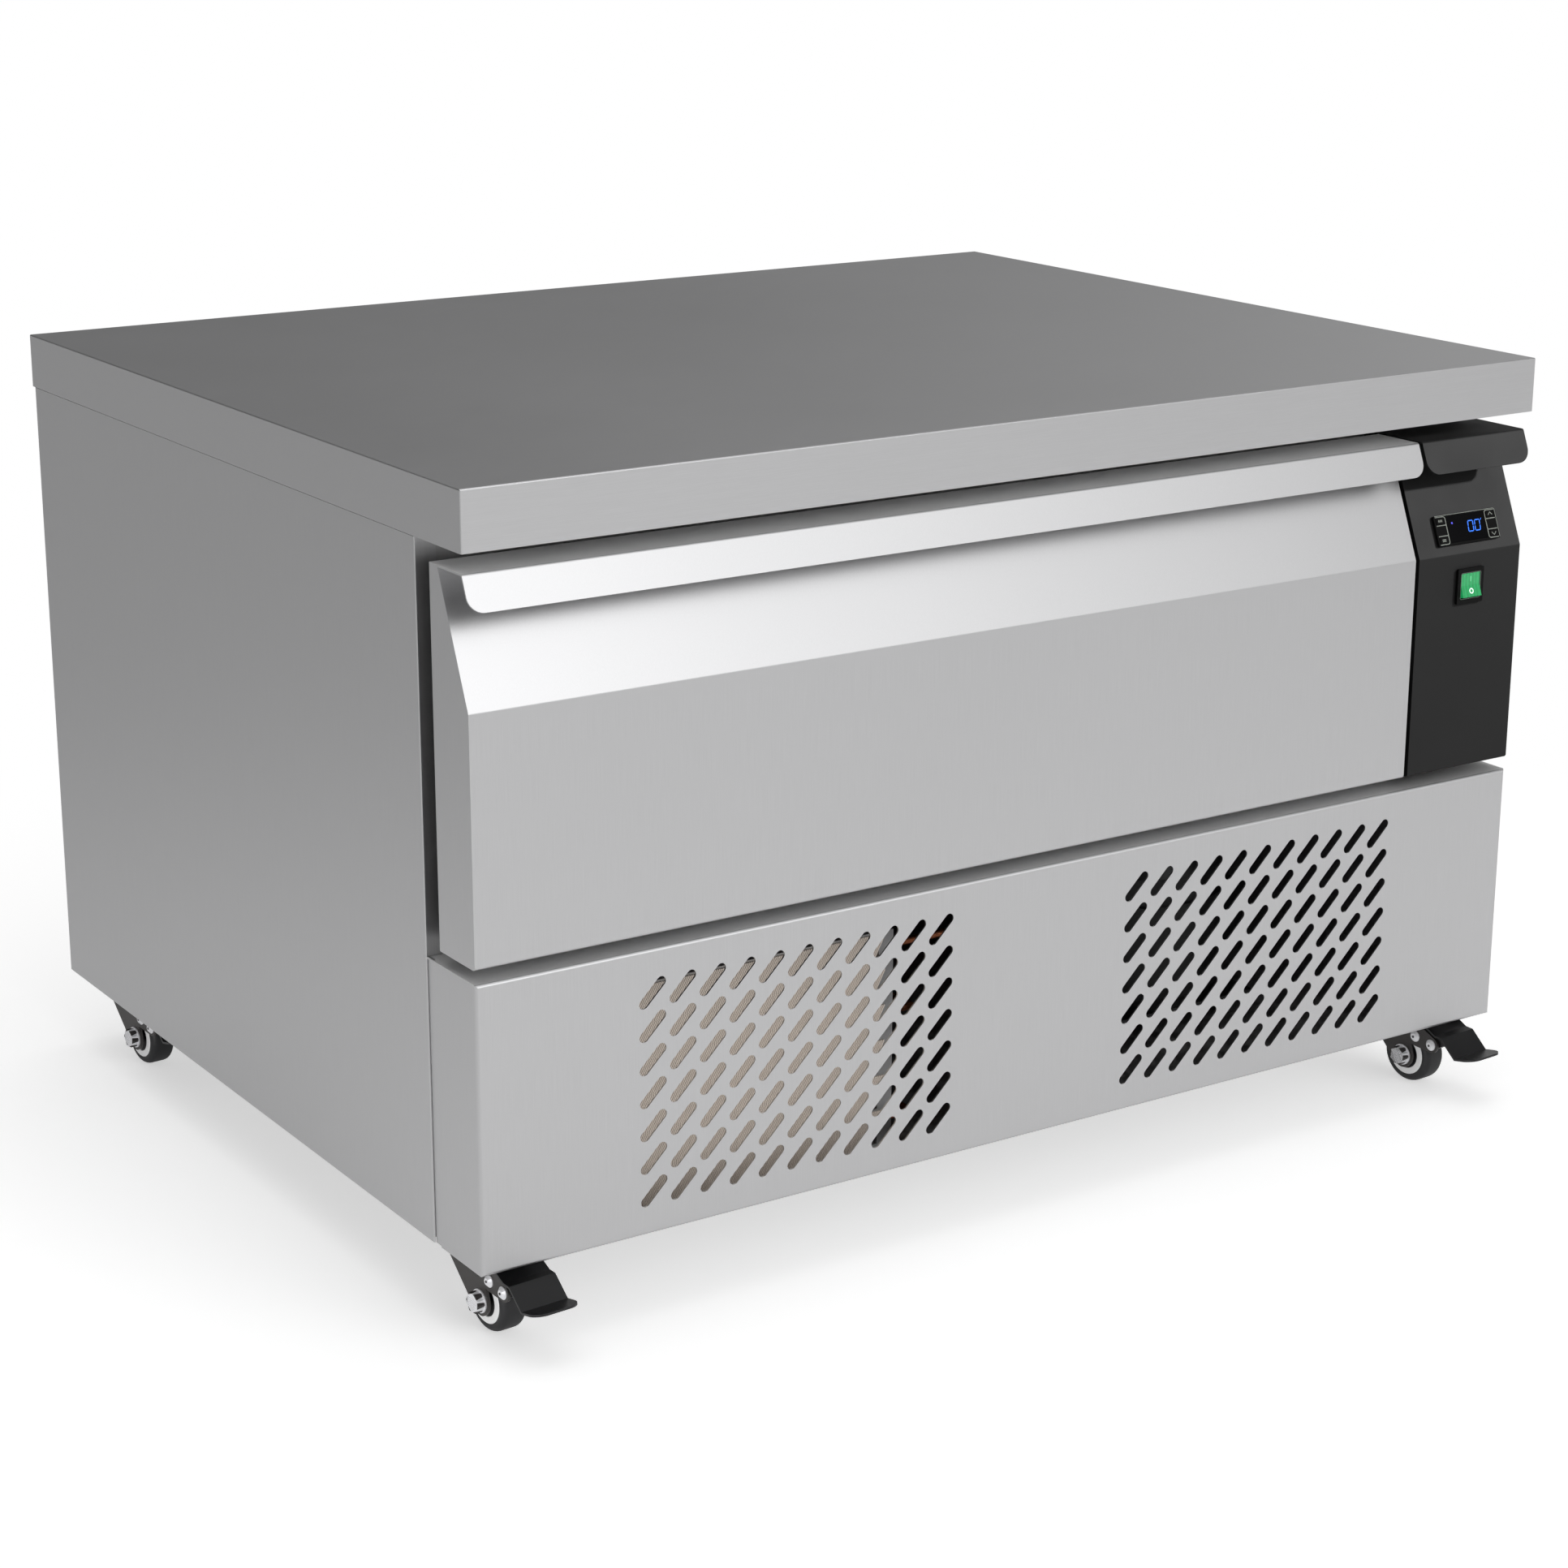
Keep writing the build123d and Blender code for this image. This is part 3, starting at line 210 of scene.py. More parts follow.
def brushed_steel(name, colour, rough, grain, matt_up=0.0, painted_light_up=None):
    """Stainless sheet with a fine directional grain: grain gives the streaks per metre along each axis.

    Faces that look straight up, inside a fold, are more matt by matt_up; a colour given for them replaces the
    brushed tone there and paints them paler: painted light, which lifts folds that get little light.
    """
    steel = Finish(name, colour, rough, metal=1.0)
    fine = steel.noise(steel.place(*grain), 1.0, detail=4.0, rough=0.6)
    cloudy = steel.noise(steel.place(), 3.0, detail=2.0)
    tone = steel.blend(fine * 0.8 + cloudy * 0.2, scaled(colour, 0.90), scaled(colour, 1.08))
    facing = steel.node("ShaderNodeNewGeometry", output="True Normal")
    rise, nearly_up = steel.node("ShaderNodeSeparateXYZ", [facing], output=2), 0.95
    level = steel.node("ShaderNodeMath", [rise, nearly_up], operation="GREATER_THAN")
    # Painted light: faces that look straight up are painted paler, in the colour given for them.
    if painted_light_up:
        tone = steel.blend(level, tone, painted_light_up)
    steel.put(
        Base_Color=tone,
        Roughness=fine * 0.12 + cloudy * 0.05 + level * matt_up + (rough - 0.085),
        Normal=steel.bump(fine, 0.00002, 0.5),
    )


def galvanised_steel(name, colour, rough):
    """Zinc-coated sheet with its flat crystals in slightly different greys."""
    zinc = Finish(name, colour, rough, metal=1.0)
    crystals = zinc.node("ShaderNodeTexVoronoi", {"Vector": zinc.place(), "Scale": 110.0}, output="Color")
    share = zinc.node("ShaderNodeSeparateColor", [crystals])
    tone = zinc.blend(share, scaled(colour, 0.78), colour)
    zinc.put(Base_Color=tone, Roughness=share * 0.18 + (rough - 0.09))


def moulded_plastic(name, colour, rough, grain=2200.0, depth=0.00003, **constants):
    """Plastic or coated metal with a fine orange-peel grain and slightly uneven gloss."""
    plastic = Finish(name, colour, rough, **constants)
    peel = plastic.noise(plastic.place(), grain, detail=2.0)
    uneven = plastic.noise(plastic.place(), 30.0)
    plastic.put(
        Base_Color=plastic.blend(uneven, colour, scaled(colour, 1.12, 0.002)),
        Roughness=uneven * 0.1 + (rough - 0.05),
        Normal=plastic.bump(peel, depth, 0.6),
    )


def drawn_metal(name, colour, rough, metal=1.0):
    """Small plated or drawn metal pieces, with faint clouding."""
    plated = Finish(name, colour, rough, metal=metal)
    cloudy = plated.noise(plated.place(), 160.0, detail=4.0)
    tone = plated.blend(cloudy, scaled(colour, 0.82), colour)
    plated.put(Base_Color=tone, Roughness=cloudy * 0.14 + (rough - 0.07))


def combed_metal(name, colour, rough):
    """The front of a fin block, brushed by its combed-over edges: slanted strokes, some of them darker."""
    fins = Finish(name, colour, rough, metal=0.1)
    slanted = fins.node("ShaderNodeMapping", {
        "Vector": fins.place(), "Rotation": (0.0, math.radians(35), 0.0), "Scale": (900.0, 900.0, 90.0),
    })
    strokes = fins.noise(slanted, 1.0, detail=4.0, rough=0.6)
    patches = fins.noise(fins.place(), 22.0, detail=2.0)
    tone = fins.blend(strokes * 0.7 + patches * 0.3, scaled(colour, 0.78), colour)
    fins.put(Base_Color=tone, Roughness=strokes * 0.2 + rough)


def cut_foam(name, colour):
    """Poured insulation with its fine open cells."""
    foam = Finish(name, colour, 0.95)
    cells = foam.node("ShaderNodeTexVoronoi", {"Vector": foam.place(), "Scale": 700.0})
    foam.put(Base_Color=foam.blend(cells, scaled(colour, 0.75), colour), Normal=foam.bump(cells, 0.0003))


def ribbed_green(name, colour, strength):
    """The lit rocker: clear green plastic with the ribs of the lamp chamber behind it."""
    green = Finish(name, colour, 0.22, Emission_Strength=strength, Coat_Weight=0.6)
    ribs = green.node("ShaderNodeTexWave", {"Vector": green.place(), "Scale": 95.0, "Distortion": 1.5})
    cloudy = green.noise(green.place(), 240.0)
    tone = green.blend(ribs * 0.5 + cloudy * 0.5, scaled(colour, 0.55), colour)
    green.put(Base_Color=tone, Emission_Color=tone)


def lit_mark(name, colour, strength):
    """A lit line or dot, slightly uneven."""
    lit = Finish(name, colour, 0.4, Emission_Strength=strength)
    soft = lit.noise(lit.place(), 900.0)
    lit.put(Emission_Color=lit.blend(soft, colour, scaled(colour, 1.3, 0.05)))


def finishes(look):
    """Make each finish once; they are found again by their names."""
    steel, rough = tuple(look.steel) + (1.0,), look.steel_roughness
    cover, rocker = tuple(look.cover) + (1.0,), tuple(look.rocker) + (1.0,)
    brushed_steel("worktop_steel", steel, rough, (30, 2600, 2600))
    # The panels' up-facing faces get painted light: a paler grey than the sheet.
    brushed_steel("panel_steel", steel, rough, (2600, 2600, 30), matt_up=0.35, painted_light_up=shade(242))
    brushed_steel("inner_steel", shade(196), rough + 0.06, (40, 40, 2000))
    galvanised_steel("zinc_sheet", shade(176), 0.42)
    cut_foam("poured_foam", tint(233, 214, 160))
    moulded_plastic("door_rubber", shade(34), 0.60, grain=900.0)
    moulded_plastic("board_grey", shade(214), 0.55, grain=600.0)
    moulded_plastic("cover_black", cover, 0.62, grain=1500.0, depth=0.00005, Specular_IOR_Level=0.2)
    moulded_plastic("moulding_black", shade(12), 0.50, Specular_IOR_Level=0.1)
    moulded_plastic("window_black", shade(5, 2), 0.16, grain=300.0, depth=0.000004, Specular_IOR_Level=0.06)
    ribbed_green("lit_green", rocker, 0.38)
    moulded_plastic("slate_coat", shade(40, 4), 0.55, grain=900.0)
    moulded_plastic("castor_black", tint(52, 49, 48), 0.40, grain=1200.0, depth=0.00004)
    moulded_plastic("tread_black", shade(34, 2), 0.50, grain=1600.0)
    moulded_plastic("pedal_black", shade(15, 2), 0.30, grain=1400.0)
    moulded_plastic("hub_white", shade(255), 0.35)
    moulded_plastic("shell_black", shade(24), 0.30, grain=500.0, depth=0.00008)
    moulded_plastic("rubber_black", shade(30), 0.72, grain=900.0)
    drawn_metal("coil_aluminium", tint(160, 146, 128), 0.42)
    combed_metal("combed_fins", tint(202, 191, 180), 0.50)
    drawn_metal("zinc_plated", shade(252, 3), 0.32, metal=0.15)
    # Painted shade: a dark grey for the small cone on each rivet that stands in for the shade in its dimple.
    drawn_metal("rivet_dimple", shade(90), 0.40, metal=0.6)
    drawn_metal("copper", tint(206, 128, 92), 0.30)
    drawn_metal("fan_grey", shade(60), 0.50, metal=0.0)
    # Painted highlight: the grey of the ring round the rocker's window, for its lit edge.
    drawn_metal("rim_grey", tint(96, 104, 98), 0.40, metal=0.0)
    drawn_metal("mark_grey", tint(180, 186, 177), 0.45, metal=0.0)
    lit_mark("digit_blue", tint(34, 112, 240), 0.75)
    lit_mark("dot_violet", tint(70, 70, 200), 0.9)
    lit_mark("mark_lit", tint(214, 240, 224), 0.8)
    lit_mark("mark_dim", tint(100, 196, 140), 0.45)


# The solids of each finish, by how their names begin. The first that fits holds.
SOLIDS = {
    "worktop_steel": ("worktop_skin",),
    "panel_steel": ("side_panel", "lower_panel", "drawer_front_skin"),
    "inner_steel": (
        "front_frame", "drawer_inner_panel", "chamber_liner", "drawer_frame", "pan_divider",
        "evaporator_cover", "evaporation_tray",
    ),
    "board_grey": ("worktop_core",),
    "poured_foam": ("cabinet_foam", "drawer_front_foam"),
    "zinc_sheet": ("rear_panel", "machine_deck", "base_tray", "runner"),
    "slate_coat": ("fan_shroud",),
    "door_rubber": ("drawer_gasket",),
    "cover_black": ("control_cover",),
    "moulding_black": ("controller_housing", "switch_housing", "terminal_box", "mains_gland", "key"),
    "window_black": ("controller_lens",),
    "lit_green": ("switch_rocker",),
    "coil_aluminium": ("condenser_tubes", "condenser_fins", "evaporator_coil", "evaporator_fins"),
    "fan_grey": ("condenser_fan_blade", "evaporator_fan_blade"),
    "rubber_black": ("compressor_feet",),
    "shell_black": ("condenser_fan_motor", "evaporator_fan_motor", "compressor"),
    "copper": ("refrigerant_pipes",),
    "castor_black": ("castor_plates", "castor_fork"),
    "tread_black": ("castor_wheel",),
    "pedal_black": ("castor_pedal",),
}


# Mesh code
def new_object(name, mesh, finish):
    """An object at the origin with one finish."""
    made = bpy.data.objects.new(name, mesh)
    bpy.context.scene.collection.objects.link(made)
    mesh.materials.clear()
    mesh.materials.append(bpy.data.materials[finish])
    return made


def from_bmesh(name, work, finish, smooth=None):
    """Turn a bmesh's faces outwards and make it an object. Edges sharper than smooth degrees stay sharp."""
    bmesh.ops.remove_doubles(work, verts=work.verts, dist=1e-6)
    bmesh.ops.recalc_face_normals(work, faces=work.faces)
    mesh = bpy.data.meshes.new(name)
    for face in work.faces:
        face.smooth = smooth is not None
    for edge in work.edges:
        edge.smooth = smooth is not None and edge.calc_face_angle(0) < math.radians(smooth)
    work.to_mesh(mesh)
    work.free()
    return new_object(name, mesh, finish)


def settled(obj):
    """Turn the result of an object's modifiers into its own plain mesh."""
    graph = bpy.context.evaluated_depsgraph_get()
    mesh = bpy.data.meshes.new_from_object(obj.evaluated_get(graph))
    obj.modifiers.clear()
    obj.data = mesh
    return obj


def band(work, one, two):
    """Faces between two rings of points."""
    for i in range(len(one)):
        j = (i + 1) % len(one)
        work.faces.new((one[i], one[j], two[j], two[i]))


def prism(work, outline, height, matrix):
    """A flat outline in X and Y raised by a height along Z, moved by a matrix."""
    low, high = [[work.verts.new(matrix @ Vector((x, y, z))) for x, y in outline] for z in (0, height)]
    band(work, low, high)
    work.faces.new(high)
    work.faces.new(low[::-1])


def turned(work, profile, matrix, steps):
    """A closed profile of (radius, height) points turned round Z."""
    rings = []
    for radius, height in profile:
        ring = []
        for i in range(steps):
            angle = 2 * math.pi * i / steps
            spot = Vector((radius * math.cos(angle), radius * math.sin(angle), height))
            ring.append(work.verts.new(matrix @ spot))
        rings.append(ring)
    for one, two in zip(rings, rings[1:] + rings[:1]):
        band(work, one, two)


def arc_points(centre, radius, start, end, steps):
    """Points along an arc, angles in degrees."""
    points = []
    for i in range(steps + 1):
        angle = math.radians(start + (end - start) * i / steps)
        points.append((centre[0] + radius * math.cos(angle), centre[1] + radius * math.sin(angle)))
    return points


def rounded(width, height, radius, steps=4, centre=(0.0, 0.0)):
    """The outline of a rectangle with round corners."""
    x, y = width / 2 - radius, height / 2 - radius
    outline = []
    for cx, cy, start in ((x, y, 0), (-x, y, 90), (-x, -y, 180), (x, -y, 270)):
        outline += arc_points((centre[0] + cx, centre[1] + cy), radius, start, start + 90, steps)
    return outline


def ribbon(points, width):
    """The outline of an even line along some points."""
    near, far = [], []
    for i, point in enumerate(points):
        before, after = Vector(points[max(i - 1, 0)]), Vector(points[min(i + 1, len(points) - 1)])
        along = (after - before).normalized()
        side = Vector((-along.y, along.x)) * width / 2
        near.append(Vector(point) + side)
        far.append(Vector(point) - side)
    return near + far[::-1]


def box_corners(name):
    """The low and the high corner of a solid's box."""
    low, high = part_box(name)
    return Vector(low), Vector(high)


# Geometry node trees
class Form(Sheet):
    """A geometry node tree with named inputs, which ends in real geometry with one finish."""

    def __init__(self, name, floats, whole):
        tree = bpy.data.node_groups.new(name, "GeometryNodeTree")
        super().__init__(tree)
        kinds = {"Geometry": "Geometry", "Finish": "Material"}
        kinds.update({key: "Float" for key in floats.split()})
        kinds.update({key: "Int" for key in whole.split()})
        add = tree.interface.new_socket
        add("Geometry", in_out="OUTPUT", socket_type="NodeSocketGeometry")
        self.sockets = {}
        for key, kind in kinds.items():
            self.sockets[key] = add(key, in_out="INPUT", socket_type="NodeSocket" + kind)
        source = tree.nodes.new("NodeGroupInput")
        self.given = {key: Wire(self, source.outputs[key]) for key in kinds}

    def real(self, geometry):
        return self.node("GeometryNodeRealizeInstances", [geometry])

    def finish(self, geometry):
        named = {"Geometry": self.real(geometry), "Material": self.given["Finish"]}
        self.end("NodeGroupOutput", self.node("GeometryNodeSetMaterial", named))
        return self

    def vector(self, x=0.0, y=0.0, z=0.0):
        return self.node("ShaderNodeCombineXYZ", [x, y, z])

    def rectangle(self, width, height):
        return self.node("GeometryNodeCurvePrimitiveQuadrilateral", {"Width": width, "Height": height})

    def moved(self, geometry, x=0.0, z=0.0):
        shift = self.vector(x, 0.0, z)
        return self.node("GeometryNodeTransform", {"Geometry": geometry, "Translation": shift})

    def joined(self, *parts):
        return self.node("GeometryNodeJoinGeometry", [list(parts)])

    def copies(self, points, one, turn=None):
        """A copy of one piece at each point."""
        values = {"Points": points, "Instance": one, "Rotation": turn}
        return self.node("GeometryNodeInstanceOnPoints", values)

    def make(self, obj, finish, **values):
        """Run the tree on an object and keep the result as its mesh."""
        modifier = obj.modifiers.new(self.tree.name, "NODES")
        modifier.node_group = self.tree
        values["Finish"] = bpy.data.materials[finish]
        for key, value in values.items():
            modifier[self.sockets[key].identifier] = value
        return settled(obj)


def slotted_sheet():
    """A flat sheet in X and Y with two groups of slanted round-ended slots, one each side of its middle."""
    form = Form("slotted_sheet", "Width Height Length Slot Slant PitchX PitchY Offset", "Columns Rows")
    g = form.given
    corners = {"Curve": form.rectangle(g["Length"], g["Slot"]), "Radius": g["Slot"] * 0.499, "Count": 5}
    slot = form.node("GeometryNodeFilletCurve", corners, mode="POLY")
    grid = form.node("GeometryNodeMeshGrid", {
        "Size X": (g["Columns"] - 1) * g["PitchX"], "Size Y": (g["Rows"] - 1) * g["PitchY"],
        "Vertices X": g["Columns"], "Vertices Y": g["Rows"],
    })
    groups = form.joined(*[form.moved(grid, x=g["Offset"] * side) for side in (-1, 1)])
    slots = form.real(form.copies(groups, slot, form.vector(z=g["Slant"])))
    lines = form.joined(form.rectangle(g["Width"], g["Height"]), slots)
    return form.finish(form.node("GeometryNodeFillCurve", [lines]))


def seated_heads():
    """A dished or six-sided head on a washer at each point, facing along the point's own direction."""
    form = Form("seated_heads", "Radius Tip Height Washer Thick", "Sides")
    g = form.given
    head = form.node("GeometryNodeMeshCone", {
        "Vertices": g["Sides"], "Radius Top": g["Tip"], "Radius Bottom": g["Radius"], "Depth": g["Height"],
    })
    disc = {"Vertices": 24, "Radius": g["Washer"], "Depth": g["Thick"]}
    washer = form.node("GeometryNodeMeshCylinder", disc)
    whole = form.joined(form.moved(head, z=g["Thick"]), form.moved(washer, z=g["Thick"] * 0.5))
    facing = form.node("GeometryNodeInputNamedAttribute", {"Name": "facing"}, data_type="FLOAT_VECTOR")
    turn = form.node("FunctionNodeAlignRotationToVector", {"Vector": facing}, axis="Z")
    return form.finish(form.copies(g["Geometry"], whole, turn))


def leaning_fins():
    """Rows of thin fins between the tubes of a coil, combed over to lean one way."""
    form = Form("leaning_fins", "Pitch Share Rise Depth Lean", "Count")
    g = form.given
    row = form.node("GeometryNodeMeshLine", {"Count": g["Count"], "Offset": form.vector(g["Pitch"])})
    rows = form.real(form.copies(g["Geometry"], row))
    size = form.vector(g["Pitch"] * g["Share"], g["Depth"], g["Rise"])
    fin = form.node("GeometryNodeMeshCube", {"Size": size})
    return form.finish(form.copies(rows, fin, form.vector(y=g["Lean"])))


def points_object(name, places, facings=None):
    """An object of loose points, with a direction stored at each."""
    mesh = bpy.data.meshes.new(name)
    mesh.from_pydata([tuple(p) for p in places], [], [])
    if facings:
        facing = mesh.attributes.new("facing", "FLOAT_VECTOR", "POINT")
        for item, direction in zip(facing.data, facings):
            item.vector = direction
    made = bpy.data.objects.new(name, mesh)
    bpy.context.scene.collection.objects.link(made)
    return made


# What a user may change
def a_number(name, description, default, **kind):
    return FloatProperty(name=name, description=description, default=default, **kind)


def a_length(name, description, metres):
    return a_number(name, description, metres, unit="LENGTH")


def an_angle(name, description, degrees):
    return a_number(name, description, math.radians(degrees), subtype="ANGLE")


def a_colour(name, description, default):
    return FloatVectorProperty(
        name=name, description=description, default=default[:3], subtype="COLOR", min=0, max=1,
    )


class FinishSettings(bpy.types.PropertyGroup):
    """Colours and gloss."""

    steel: a_colour("Steel", "Colour of the stainless sheets", shade(205, 1))
    steel_roughness: a_number("Steel roughness", "How matt the brushed sheets are", 0.40, min=0.05, max=1,
                              subtype="FACTOR")
    cover: a_colour("Control cover", "Colour of the coated control cover", shade(18))
    rocker: a_colour("Rocker", "Colour of the lit rocker", tint(30, 176, 100))


class PanelSettings(bpy.types.PropertyGroup):
    """The slotted front of the machine bay."""

    sheet: a_length("Sheet", "Thickness", 0.0012)
    bend: a_length("Bend", "Outside radius of the folds", 0.0025)
    flange: a_length("Flange", "Depth of the bottom fold", 0.015)
    joggle: a_length("Joggle", "Inward step of the ends", 0.001)
    joggle_depth: a_length("Joggle depth", "Length of the step", 0.009)
    joggle_slope: a_length("Joggle slope", "Length over which the step is made", 0.0008)
    slot_length: a_length("Slot length", "Over its round ends", 0.026)
    slot_width: a_length("Slot width", "Across a slot", 0.007)
    slant: an_angle("Slant", "Turn of each slot", 45)
    pitch_x: a_length("Column pitch", "From slot to slot", 0.0231)
    pitch_z: a_length("Row pitch", "From row to row", 0.0232)
    columns: IntProperty(name="Columns", description="Slots in a row of one group", default=11, min=1)
    rows: IntProperty(name="Rows", description="Rows of slots", default=7, min=1)
    offset: a_length("Group offset", "From the panel's middle to a group's", 0.2013)


class CastorSettings(bpy.types.PropertyGroup):
    """Wheels, bolts and rivets of the four castors."""

    wheel_radius: a_length("Wheel radius", "Over the tread", 0.023)
    wheel_width: a_length("Wheel width", "Across the tread", 0.020)
    wheel_bore: a_length("Wheel bore", "Radius round the axle bolt", 0.00405)
    shoulder: a_length("Shoulder", "Radius of the tread's edges", 0.005)
    ring_outer: a_length("Ring outside", "Radius of the pale ring", 0.0175)
    ring_inner: a_length("Ring inside", "Radius of the ring's bore", 0.0115)
    bolt_radius: a_length("Bolt head", "Radius over corners", 0.0076)
    rivet_radius: a_length("Rivet head", "Radius of a rivet", 0.0045)
    fork_outside: a_length("Fork outside", "Middle to plate", 0.014)
    rivet_lift: a_length("Rivet height", "Of the rivet next to the brake's, over the floor", 0.0420)
    rivet_reach: a_length("Rivet reach", "Of the same rivet, from the swivel axis", 0.0325)


class ControlSettings(bpy.types.PropertyGroup):
    """The controller and the mains switch."""

    slope: an_angle("Slope", "Lean of the sloped face", 22.7)
    digits: StringProperty(name="Digits", description="What the display shows", default="00", maxlen=3)
    digit_height: a_length("Digit height", "Of a lit digit", 0.0087)
    digit_width: a_length("Digit width", "Of a lit digit", 0.0058)
    digit_line: a_length("Digit line", "Width of a bar", 0.0008)
    digit_end: a_length("Digit place", "Middle of the last digit", 0.0108)
    line: a_length("Line", "Width of the pale lines", 0.0006)
    ink: a_length("Mark thickness", "Of the lit figures and the marks on the keys", 0.00006)
    tilt: an_angle("Rocker tilt", "Turn of the rocker", 10)


class CoolingSettings(bpy.types.PropertyGroup):
    """Fine fins between the tubes of the condenser."""

    passes: IntProperty(name="Tubes", description="Flat tubes of the condenser", default=7, min=2)
    tube: a_length("Tube", "Thickness of a flat tube", 0.0032)
    header: a_length("Header", "Width of an end tube", 0.012)
    fin_pitch: a_length("Fin pitch", "From fin to fin", 0.0016)
    share: a_number("Fin edge", "Share of the pitch that a combed-over edge covers", 0.6, min=0.05, max=0.95)
    lean: an_angle("Fin lean", "Slant of the fins", 28)
    proud: a_length("Fin depth", "By how much the fins are deeper than the tubes", 0.002)


class StageSettings(bpy.types.PropertyGroup):
    """Camera, floor and lights."""

    eye: FloatVectorProperty(
        name="Camera", description="Place, measured from the middle of the worktop's front",
        subtype="TRANSLATION", default=(-1.3688, -1.7518, 0.9813),
    )
    turn: an_angle("Turn", "To the right of straight ahead", 33.34)
    pitch: an_angle("Pitch", "Below the horizon", 16.63)
    roll: an_angle("Roll", "Of the camera", 0.16)
    lens: a_number("Lens", "Focal length in millimetres", 76.67, min=1)
    front_glow: a_number("Front glow", "Of the soft light in front", 3.5)
    side_glow: a_number("Side glow", "Of the soft light on the right", 0.75)
    overhead: a_number("Overhead", "Watts of the light above", 14.0)
    bay: a_number("Bay light", "Watts behind each half of the slotted panel", 0.10)
    low_left: a_number("Low light", "Watts low on the left, for the castors", 8.0)
    cover_key: a_number("Cover light", "Watts from the right on the dark cover", 30.0)
    floor: BoolProperty(name="Floor", description="Lay the pale floor", default=True)


# Pieces
class COUNTER_OT_finishes(bpy.types.Operator):
    """Make the finishes and give each solid its own."""

    bl_idname = "counter.finishes"
    bl_label = "Finishes"

    def execute(self, context):
        finishes(context.scene.counter_finish)
        for name, node in nodes.items():
            finish = next((finish for finish, starts in SOLIDS.items() if name.startswith(starts)), None)
            if finish is None:
                raise RuntimeError("no finish for " + name)
            node.data.materials.clear()
            node.data.materials.append(bpy.data.materials[finish])
        return {"FINISHED"}


class COUNTER_OT_slotted_panel(bpy.types.Operator):
    """Build the folded machine-bay panel with its round-ended slots."""

    bl_idname = "counter.slotted_panel"
    bl_label = "Slotted panel"

    def execute(self, context):
        p = context.scene.counter_panel
        low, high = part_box("lower_panel")
        middle = ((low[0] + high[0]) / 2, low[1], (low[2] + high[2]) / 2)
        flat = points_object("lower_panel_face", [(0, 0, 0)])
        slotted_sheet().make(
            flat, "panel_steel", Width=high[0] - low[0] - 2 * p.bend, Height=high[2] - low[2] - 2 * p.bend,
            Length=p.slot_length, Slot=p.slot_width, Slant=p.slant, PitchX=p.pitch_x, PitchY=p.pitch_z,
            Columns=p.columns, Rows=p.rows, Offset=p.offset,
        )
        work = bmesh.new()
        work.from_mesh(flat.data)
        bpy.data.objects.remove(flat)
        upright = Matrix.Translation(middle) @ Matrix.Rotation(math.radians(90), 4, "X")
        bmesh.ops.transform(work, matrix=upright, verts=work.verts)
        self.folds(work, low, high, p)
        bmesh.ops.remove_doubles(work, verts=work.verts, dist=2e-5)
        bmesh.ops.recalc_face_normals(work, faces=work.faces)
        if sum(f.normal.y * f.calc_area() for f in work.faces) > 0:
            bmesh.ops.reverse_faces(work, faces=work.faces)
        mesh = bpy.data.meshes.new("slotted_panel")
        work.to_mesh(mesh)
        work.free()
        panel = new_object("slotted_panel", mesh, "panel_steel")
        wall = panel.modifiers.new("sheet", "SOLIDIFY")
        wall.thickness = p.sheet
        wall.offset = -1
        settled(panel)
        for polygon in panel.data.polygons:
            polygon.use_smooth = False
        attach(panel, "cabinet")
        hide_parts("lower_panel")
        return {"FINISHED"}

    def folds(self, work, low, high, p, steps=6):
        """The bends all round, the ends with their inward step, the top and the narrow bottom flange."""
        rings = []
        for i in range(steps + 1):
            turn = math.radians(90 * i / steps)
            inset, y = p.bend * (1 - math.sin(turn)), low[1] + p.bend * (1 - math.cos(turn))
            x0, x1, z0, z1 = low[0] + inset, high[0] - inset, low[2] + inset, high[2] - inset
            rings.append([work.verts.new(c) for c in ((x0, y, z0), (x1, y, z0), (x1, y, z1), (x0, y, z1))])
        for one, two in zip(rings, rings[1:]):
            band(work, one, two)
        bottom_left, bottom_right, top_right, top_left = rings[-1]
        step, back = high[1] - p.joggle_depth, high[1]

        def wall(first, second, shift, depths):
            one, two = first, second
            for depth, inward in depths:
                a, b = [work.verts.new((v.co.x + inward * shift, depth, v.co.z)) for v in (first, second)]
                work.faces.new((one, two, b, a))
                one, two = a, b

        ends = [(step, 0.0), (step + p.joggle_slope, p.joggle), (back, p.joggle)]
        wall(bottom_left, top_left, 1, ends)
        wall(bottom_right, top_right, -1, ends)
        wall(top_left, top_right, 0, [(step, 0.0), (back, 0.0)])
        wall(bottom_left, bottom_right, 0, [(low[1] + p.flange, 0.0)])


def castor_frame(place):
    """A castor's own frame, X along its trail and Z up, with its trail and the height of its axle."""
    swivel = Vector(joints["castor_" + place + "_swivel"]["pos_m"])
    axle = Vector(joints["castor_" + place + "_wheel"]["pos_m"])
    trail = Vector((axle.x - swivel.x, axle.y - swivel.y, 0)).normalized()
    side = Vector((0, 0, 1)).cross(trail)
    turn = Matrix((trail, side, (0, 0, 1))).transposed().to_4x4()
    return Matrix.Translation((swivel.x, swivel.y, 0)) @ turn, (axle - swivel).to_2d().length, axle.z


